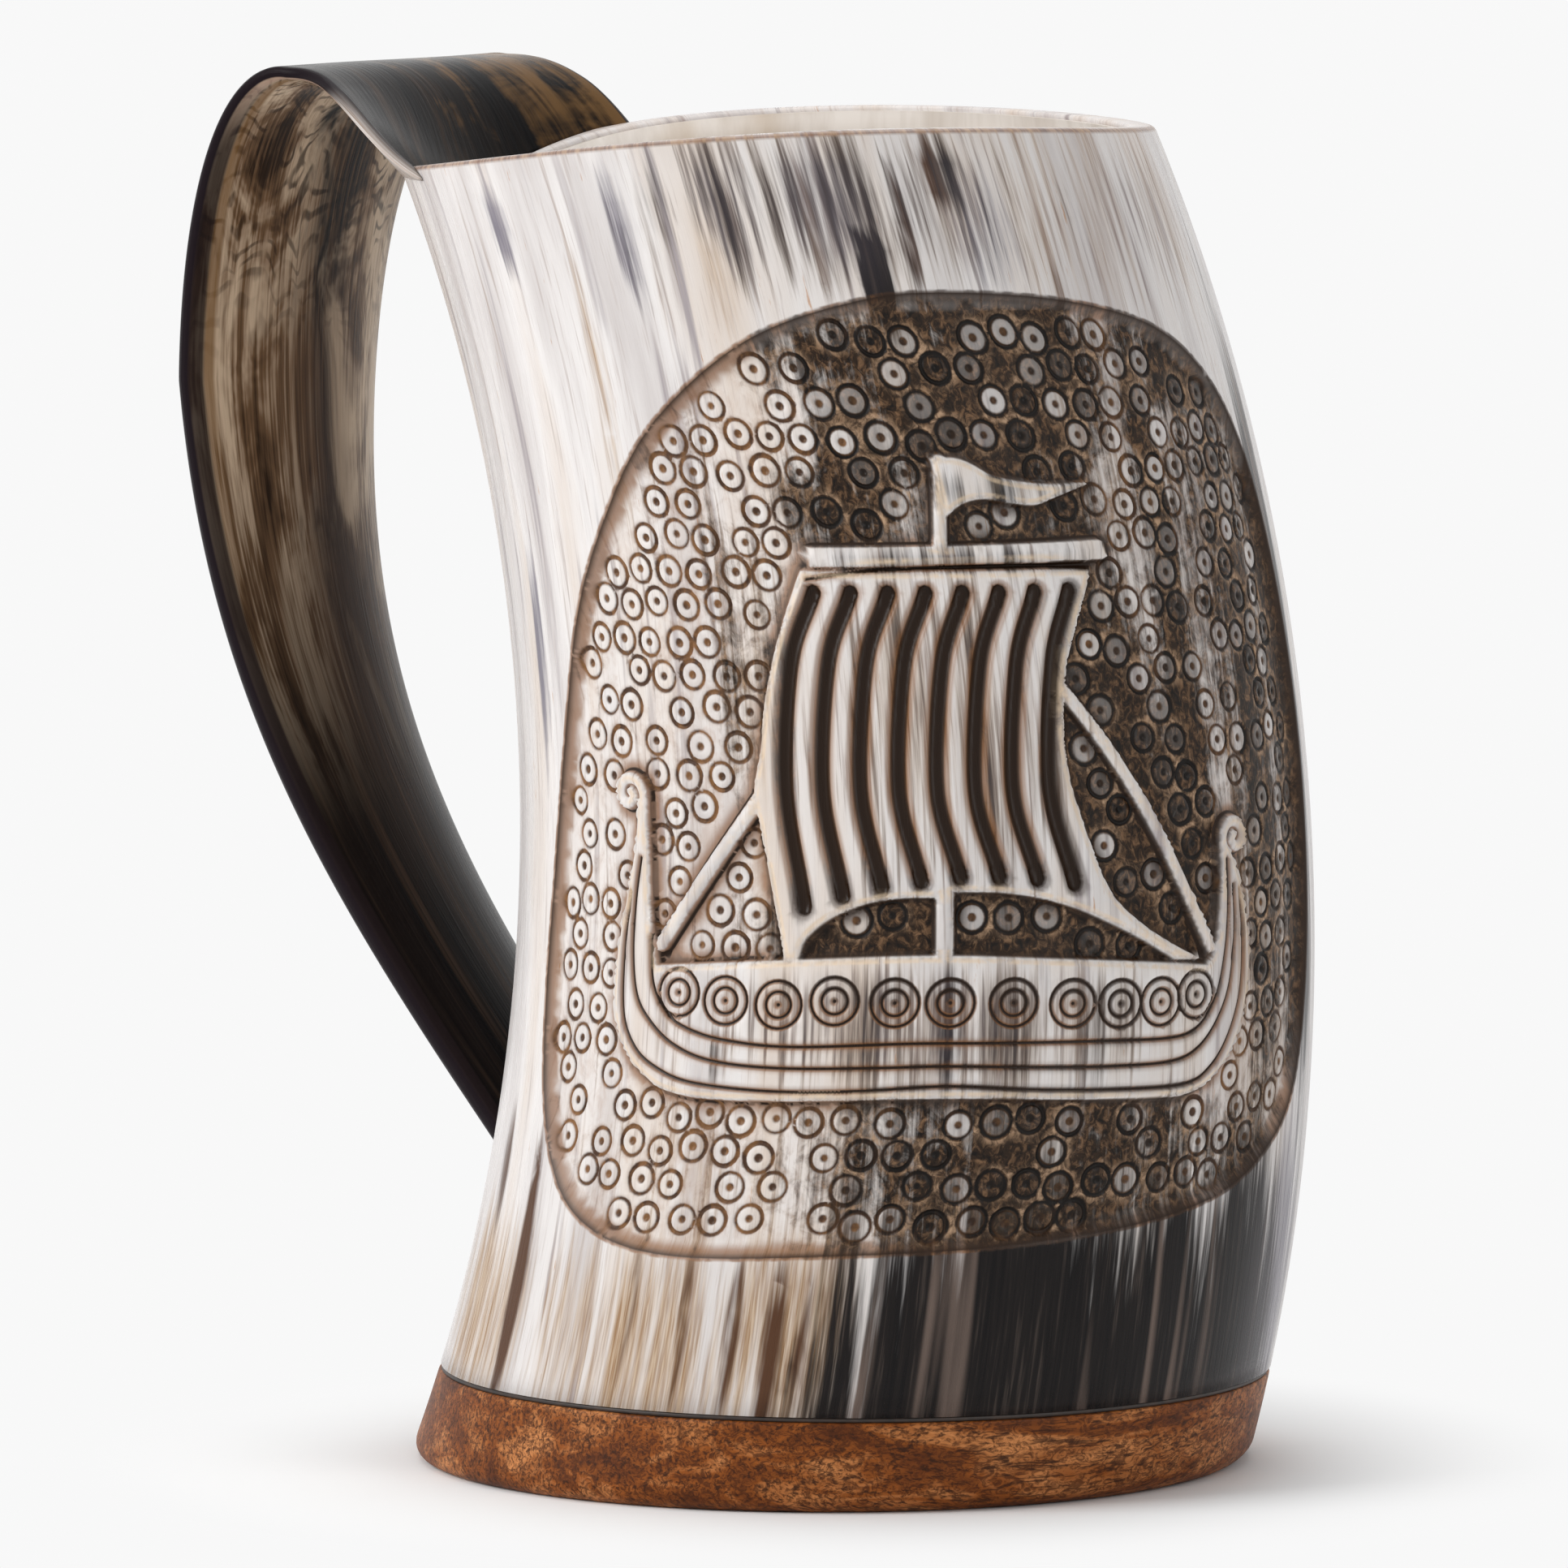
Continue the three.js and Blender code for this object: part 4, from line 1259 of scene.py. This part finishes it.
# What is taken from the mixed noises under each tone, and their share in the brown one
DARK_LEVEL = 1.0
SOOT_LEVEL = 1.5
BROWN_MIXED = 0.5
# Ramps of colour: the noise, and the stops
HORN_RAMPS = {
    "pale": ("broad", (0.32, (196, 190, 188)), (0.5, (220, 216, 214)), (0.68, (210, 199, 190))),
    "amber": ("hair", (0.36, (190, 168, 144)), (0.6, (150, 118, 86))),
    "black": ("fine", (0.36, (13, 10, 11)), (0.58, (26, 21, 20)), (0.75, (70, 61, 56))),
    "patina": ("grit", (0.36, (17, 12, 9)), (0.5, (48, 34, 23)), (0.68, (116, 88, 64))),
    # The lit ramp colours the painted highlight on the rings' shoulders
    "lit": ("grit", (0.4, (96, 74, 56)), (0.6, (176, 146, 118))),
    "struck": ("cloud", (0.42, (74, 52, 38)), (0.62, (132, 94, 60))),
    "rim": ("fine", (0.35, (96, 62, 42)), (0.5, (128, 90, 62)), (0.65, (170, 140, 112))),
}
# Layers: the colour or ramp, the amount, and values or (value, where it sets in, where it is full)
BLACK_LAYERS = [((84, 77, 84), 0.5, "grey"), ((132, 114, 104), 0.7, ("lines", 0.52, 0.72))]
STRUCK_LAYERS = [((19, 14, 11), 1.0, "sooty")]
TAN = (136, 95, 62)
TAN_LAYERS = [((58, 41, 30), 1.0, ("soot_level", 0.1, 0.5))]
STREAK_LAYERS = [
    ((158, 150, 152), 1.0, ("band", 0.56, 0.74)),
    ((164, 150, 144), 0.75, ("fine", 0.54, 0.76)),
    ((176, 164, 158), 0.5, ("hair", 0.55, 0.8)),
    ((178, 128, 84), 0.7, ("fleck", 0.66, 0.74)),
]
TONE_LAYERS = [
    ("amber", 1.0, ("amber_level", 1.15, 1.75)),
    ((124, 119, 128), 1.0, ("grey_level", 0.85, 1.45)),
    ((82, 54, 36), 1.0, ("brown_level", 0.8, 1.2)),
    ("black", 1.0, ("dark_level", 0.22, 0.66)),
]
CARVED_LAYERS = [
    ((218, 188, 154), 0.08, "blackened"),
    ((156, 112, 76), 0.26, "tinted", ("cloud", 0.42, 0.7)),
    ("tan", 0.8, ("stain", 0.05, 0.5)),
    ("patina", 1.0, "sooty"),
    # Painted highlight on the rings' shoulders in the dark ground
    ("lit", 1.0, ("painted_shoulder_highlight", 0.12, 0.6), "sooty"),
    ((40, 26, 16), 1.0, ("stain", 0.45, 0.8)),
    ("struck", 1.0, ("ring", 0.04, 0.45)),
    # Painted highlight along the ship's raised edges
    ((222, 198, 168), 0.75, "crest", ("cloud", 0.3, 0.6)),
]
RIM_LAYERS = [("rim", 0.8, "edge")]
SOOTY_STEP = (0.08, 0.68)
HORN_GLOSS = (0.22, 0.4)
FIBRE_GLOSS = 0.12
HORN_SPECULAR = 0.15
HORN_BUMP = (0.25, 0.1)


def horn_values(nodes):
    """What the horn's layers go by: values of its points, noises, ramps and mixes of them."""
    known = nodes.noises(nodes.vector("fibre"), HORN_NOISES)
    known.update(nodes.ramps(known, HORN_RAMPS))
    for name in (*WALL_VALUES, "edge", "grey"):
        known[name] = nodes.value(name)
    mixed = nodes.shares(known, MIXED_SHARES)
    clouded = nodes.minus(nodes.plus(mixed, known["cloud"]), SOOT_LEVEL)
    known["soot_level"] = nodes.plus(nodes.value("soot"), clouded)
    known["sooty"] = nodes.times(nodes.step(known["soot_level"], SOOTY_STEP), known["blackened"])
    known["amber_level"] = nodes.plus(nodes.value("amber"), mixed)
    known["grey_level"] = nodes.plus(known["grey"], known["fine"])
    known["brown_level"] = nodes.plus(nodes.value("brown"), nodes.times(mixed, BROWN_MIXED))
    known["dark_level"] = nodes.plus(nodes.value("dark"), nodes.minus(mixed, DARK_LEVEL))
    known["black"] = nodes.layered(known, known["black"], BLACK_LAYERS)
    known["struck"] = nodes.layered(known, known["struck"], STRUCK_LAYERS)
    known["tan"] = nodes.layered(known, linear(TAN), TAN_LAYERS)
    return known


def horn_material():
    material, nodes, shader = new_material("streaked_horn")
    known = horn_values(nodes)
    fine = known["fine"]
    layers = STREAK_LAYERS + TONE_LAYERS + CARVED_LAYERS + RIM_LAYERS
    gloss = nodes.spread(known["tinted"], HORN_GLOSS)
    nodes.put_all(shader, {
        "Base Color": nodes.layered(known, known["pale"], layers),
        "Roughness": nodes.plus(gloss, nodes.times(fine, FIBRE_GLOSS)),
        "Specular IOR Level": HORN_SPECULAR,
        "Normal": nodes.bump(nodes.plus(fine, known["hair"]), *HORN_BUMP),
    })
    return material


# Handle: noises by scale across and along the fibres, detail, roughness and distortion
HANDLE_NOISES = {
    "band": (0.4, 0.03, 3, 0.6, 0.4),
    "fine": (1.5, 0.07, 3, 0.6),
    "cloud": (0.11, 0.07, 4, 0.6, 0.8),
    "ripple": (0.13, 0.09, 2, 0.5, 0.6),
    "patch": (0.3, 0.2, 2, 0.5, 0.5),
}
# Noises that the pale horn follows, with their shares
CREAM_SHARES = {"cloud": 0.7, "fine": 0.3}
HANDLE_RAMPS = {
    "dark": ("band", (0.36, (10, 8, 9)), (0.54, (26, 20, 17)), (0.72, (62, 47, 36))),
    "cream": ("creamy", (0.37, (46, 33, 23)), (0.46, (116, 90, 66)), (0.55, (206, 184, 158))),
    "root": ("fine", (0.35, (218, 212, 208)), (0.65, (166, 146, 130))),
}
WRINKLE_PHASE = {"along": 95.0, "ripple": 40.0}
# The pale area's middle line and how far it wanders, the amber line, and the bronze's lean to the far edge
CREAM_MIDDLE = 0.12
CREAM_WANDER = 1.2
NOISE_MIDDLE = 0.5
AMBER_LINE = 0.88
BRONZE_ACROSS = 0.35
WRINKLE_LAYERS = [((46, 33, 24), 0.8, ("wave", 0.1, 0.95), ("along", 2.1, 1.6), ("patch", 0.38, 0.58))]
# Layers: the pale area, its brown wash, brown fibres, the amber line, the dark near edge, bronze on the
# outer face, the pale lip, the dark noses and the pale root
HANDLE_LAYERS = [
    ("cream", 1.0, "inner", ("along", 0.75, 1.15), ("along", 2.65, 1.95), ("middle", 0.0, 0.32)),
    ((62, 43, 30), 0.6, "inner", ("middle", 0.7, 0.1), ("along", 2.95, 2.3), ("along", 1.6, 2.0)),
    ((126, 96, 70), 0.55, "inner", ("along", 2.3, 1.6), ("fine", 0.46, 0.72)),
    ((122, 88, 48), 0.8, "inner", ("off_line", 0.06, 0.02), ("along", 2.5, 1.9), ("cloud", 0.35, 0.6)),
    ((32, 24, 25), 0.9, ("across", -0.9, -0.93), ("along", 0.9, 1.5)),
    ((116, 86, 52), 0.8, "outer", ("bronze", 1.08, 1.42), ("along", 2.4, 1.2)),
    ((184, 156, 138), 1.0, ("across", -0.93, -0.95), ("along", 1.5, 0.9), ("inner", 0.6, 0.95)),
    ((27, 20, 24), 1.0, ("off_middle", 0.996, 1.006), ("inner", 0.98, 0.85)),
    ("root", 1.0, "inner", ("along", 0.6, 0.25)),
]
HANDLE_GLOSS = (0.14, 0.3)
HANDLE_IOR = 1.25
HANDLE_SPECULAR = 0.13
HANDLE_BUMP = (0.25, 0.25)


def handle_values(nodes):
    """What the handle's layers go by: places on the strip, noises, ramps and mixes of them."""
    known = nodes.noises(nodes.vector("fibre"), HANDLE_NOISES)
    for name in ("along", "across"):
        known[name] = nodes.value(name)
    across = known["across"]
    known["outer"] = nodes.value("face")
    known["inner"] = nodes.minus(1.0, known["outer"])
    known["wave"] = nodes.maths("SINE", nodes.shares(known, WRINKLE_PHASE))
    known["creamy"] = nodes.shares(known, CREAM_SHARES)
    wander = nodes.times(nodes.minus(known["cloud"], NOISE_MIDDLE), CREAM_WANDER)
    known["middle"] = nodes.maths("ABSOLUTE", nodes.minus(nodes.plus(across, wander), CREAM_MIDDLE))
    known["off_line"] = nodes.maths("ABSOLUTE", nodes.plus(across, AMBER_LINE))
    known["off_middle"] = nodes.maths("ABSOLUTE", across)
    clouded = nodes.plus(known["band"], known["cloud"])
    known["bronze"] = nodes.plus(nodes.times(across, BRONZE_ACROSS), clouded)
    known.update(nodes.ramps(known, HANDLE_RAMPS))
    known["cream"] = nodes.layered(known, known["cream"], WRINKLE_LAYERS)
    return known


def handle_material():
    material, nodes, shader = new_material("dark_strip_horn")
    known = handle_values(nodes)
    nodes.put_all(shader, {
        "Base Color": nodes.layered(known, known["dark"], HANDLE_LAYERS),
        "Roughness": nodes.spread(known["fine"], HANDLE_GLOSS),
        "IOR": HANDLE_IOR,
        "Specular IOR Level": HANDLE_SPECULAR,
        "Normal": nodes.bump(nodes.plus(known["fine"], known["ripple"]), *HANDLE_BUMP),
    })
    return material


# Wood: noises by scale along the grain, across it and upwards, detail, roughness and distortion
WOOD_GRAIN_TURN = 60
WOOD_BROAD = ((30.0, 130.0, 200.0), 4, 0.6, 0.8)
WOOD_PORES = ((150.0, 2000.0, 2000.0), 3, 0.65, 0.5)
WOOD_CURL = ((480.0, 900.0, 900.0), 4, 0.7, 2.2)
WOOD_RAMP = [(0.34, (94, 46, 12)), (0.5, (140, 76, 26)), (0.66, (200, 132, 78))]
WOOD_LAYERS = [((66, 31, 8), 0.8, ("curl", 0.42, 0.6)), ((44, 21, 7), 0.8, ("pores", 0.5, 0.64))]
WOOD_GLOSS = (0.36, 0.6)
WOOD_SPECULAR = 0.16
WOOD_BUMP = (0.3, 0.15)


def wood_material():
    material, nodes, shader = new_material("oiled_wood")
    turn = {"Vector": nodes.position(), "Rotation": (0, 0, -WOOD_GRAIN_TURN * DEG)}
    turned = nodes.make("Mapping", turn).outputs[0]
    pores = nodes.noise(turned, *WOOD_PORES)
    known = {"pores": pores, "curl": nodes.noise(turned, *WOOD_CURL)}
    look = nodes.ramp(nodes.noise(turned, *WOOD_BROAD), WOOD_RAMP)
    nodes.put_all(shader, {
        "Base Color": nodes.layered(known, look, WOOD_LAYERS),
        "Roughness": nodes.spread(pores, WOOD_GLOSS),
        "Specular IOR Level": WOOD_SPECULAR,
        "Normal": nodes.bump(pores, *WOOD_BUMP),
    })
    return material


# Glue, coat and pegs: noises by scale and settings, then ramps and gloss
GLUE_LUMPS = ((700.0, 700.0, 700.0), 3)
GLUE_RAMP = [(0.3, (20, 15, 13)), (0.7, (52, 36, 26))]
GLUE_GLOSS = 0.5
COAT_STREAKS = ((260.0, 260.0, 22.0), 4, 0.6)
COAT_RAMP = [(0.34, (186, 174, 162)), (0.6, (208, 199, 190))]
COAT_CLOUDS = ((60.0, 60.0, 30.0), 3)
COAT_LAYERS = [((176, 154, 128), 1.0, ("clouds", 0.55, 0.8))]
PEG_RINGS = ((900.0, 900.0, 900.0), 3)
PEG_RAMP = [(0.3, (40, 30, 24)), (0.7, (110, 86, 62))]
SMALL_GLOSS = (0.25, 0.4)


def glue_material():
    material, nodes, shader = new_material("dark_glue")
    lumps = nodes.noise(nodes.position(), *GLUE_LUMPS)
    nodes.put_all(shader, {"Base Color": nodes.ramp(lumps, GLUE_RAMP), "Roughness": GLUE_GLOSS})
    return material


def coat_material():
    material, nodes, shader = new_material("inner_coat")
    position = nodes.position()
    streaks = nodes.noise(position, *COAT_STREAKS)
    known = {"clouds": nodes.noise(position, *COAT_CLOUDS)}
    look = nodes.layered(known, nodes.ramp(streaks, COAT_RAMP), COAT_LAYERS)
    nodes.put_all(shader, {"Base Color": look, "Roughness": nodes.spread(streaks, SMALL_GLOSS)})
    return material


def peg_material():
    material, nodes, shader = new_material("peg_horn")
    rings = nodes.noise(nodes.position(), *PEG_RINGS)
    look = nodes.ramp(rings, PEG_RAMP)
    nodes.put_all(shader, {"Base Color": look, "Roughness": nodes.spread(rings, SMALL_GLOSS)})
    return material


# Stage: floor, world, lamps and camera. The floor, its fade and the lamps' sizes are in metres

WHITE = (0.94, 0.94, 0.94, 1)
FLOOR_WHITE = (0.95, 0.95, 0.95, 1)
FLOOR_HALF = 6.0
FLOOR_FADE = (0.051, 0.092)
WORLD_LIGHT = 0.42


def stage_floor():
    mesh = bpy.data.meshes.new("floor")
    corners = [(-1, -1), (1, -1), (1, 1), (-1, 1)]
    mesh.from_pydata([(x * FLOOR_HALF, y * FLOOR_HALF, 0) for x, y in corners], [], [(0, 1, 2, 3)])
    floor = bpy.data.objects.new("floor", mesh)
    bpy.context.scene.collection.objects.link(floor)
    material = bpy.data.materials.new("studio_floor")
    material.use_nodes = True
    nodes = Nodes(material.node_tree, "OutputMaterial")
    matt = nodes.make("BsdfDiffuse", {"Color": FLOOR_WHITE})
    glow = nodes.make("Emission", {"Color": WHITE, "Strength": 1.0})
    distance = nodes.make("VectorMath", {0: nodes.position()}, operation="LENGTH").outputs["Value"]
    nodes.finish_mixed(nodes.times(nodes.step(distance, FLOOR_FADE), nodes.seen()), matt, glow)
    mesh.materials.append(material)


def studio_world():
    world = bpy.data.worlds.new("studio")
    world.use_nodes = True
    nodes = Nodes(world.node_tree, "OutputWorld")
    light = nodes.make("Background", {"Color": (1, 1, 1, 1), "Strength": WORLD_LIGHT})
    white = nodes.make("Background", {"Color": WHITE, "Strength": 1.0})
    nodes.finish_mixed(nodes.seen(), light, white)
    bpy.context.scene.world = world


def aim(thing, place, target):
    thing.location = Vector(place) * MM
    thing.rotation_euler = (Vector(target) - Vector(place)).to_track_quat("-Z", "Y").to_euler()
    bpy.context.scene.collection.objects.link(thing)


# Lamps: place, width and height, and power
LAMPS = {
    "key": ((-560, -760, 560), (0.5, 0.7), 7.6),
    "fill": ((850, -250, 300), (0.3, 0.8), 1.6),
    "top": ((-100, 150, 800), (0.6, 0.6), 3),
}
LAMP_TARGET = (0, 0, 80)


def lamps():
    for name, (place, size, power) in LAMPS.items():
        data = bpy.data.lights.new(name, "AREA")
        data.shape = "RECTANGLE"
        data.size, data.size_y = size
        data.energy = power
        aim(bpy.data.objects.new(name, data), place, LAMP_TARGET)


CAMERA_PLACE = (720.3, -1258.4, 208)
CAMERA_TARGET = (-4.66, -2.69, 80)
CAMERA_LENS = 282.1
CAMERA_SENSOR = 36
CAMERA_CLIP = (0.05, 40)


def camera():
    data = bpy.data.cameras.new("camera")
    data.lens = CAMERA_LENS
    data.sensor_width = CAMERA_SENSOR
    data.clip_start, data.clip_end = CAMERA_CLIP
    view = bpy.data.objects.new("camera", data)
    aim(view, CAMERA_PLACE, CAMERA_TARGET)
    bpy.context.scene.camera = view


camera()
stage_floor()
studio_world()
lamps()
bpy.context.scene.view_settings.view_transform = "Standard"

horn_shell().data.materials.append(horn_material())
handle_strip().data.materials.append(handle_material())
turned_base().data.materials.append(wood_material())
glue_line().data.materials.append(glue_material())
inner_coat().data.materials.append(coat_material())
peg_look = peg_material()
for piece in pegs():
    piece.data.materials.append(peg_look)
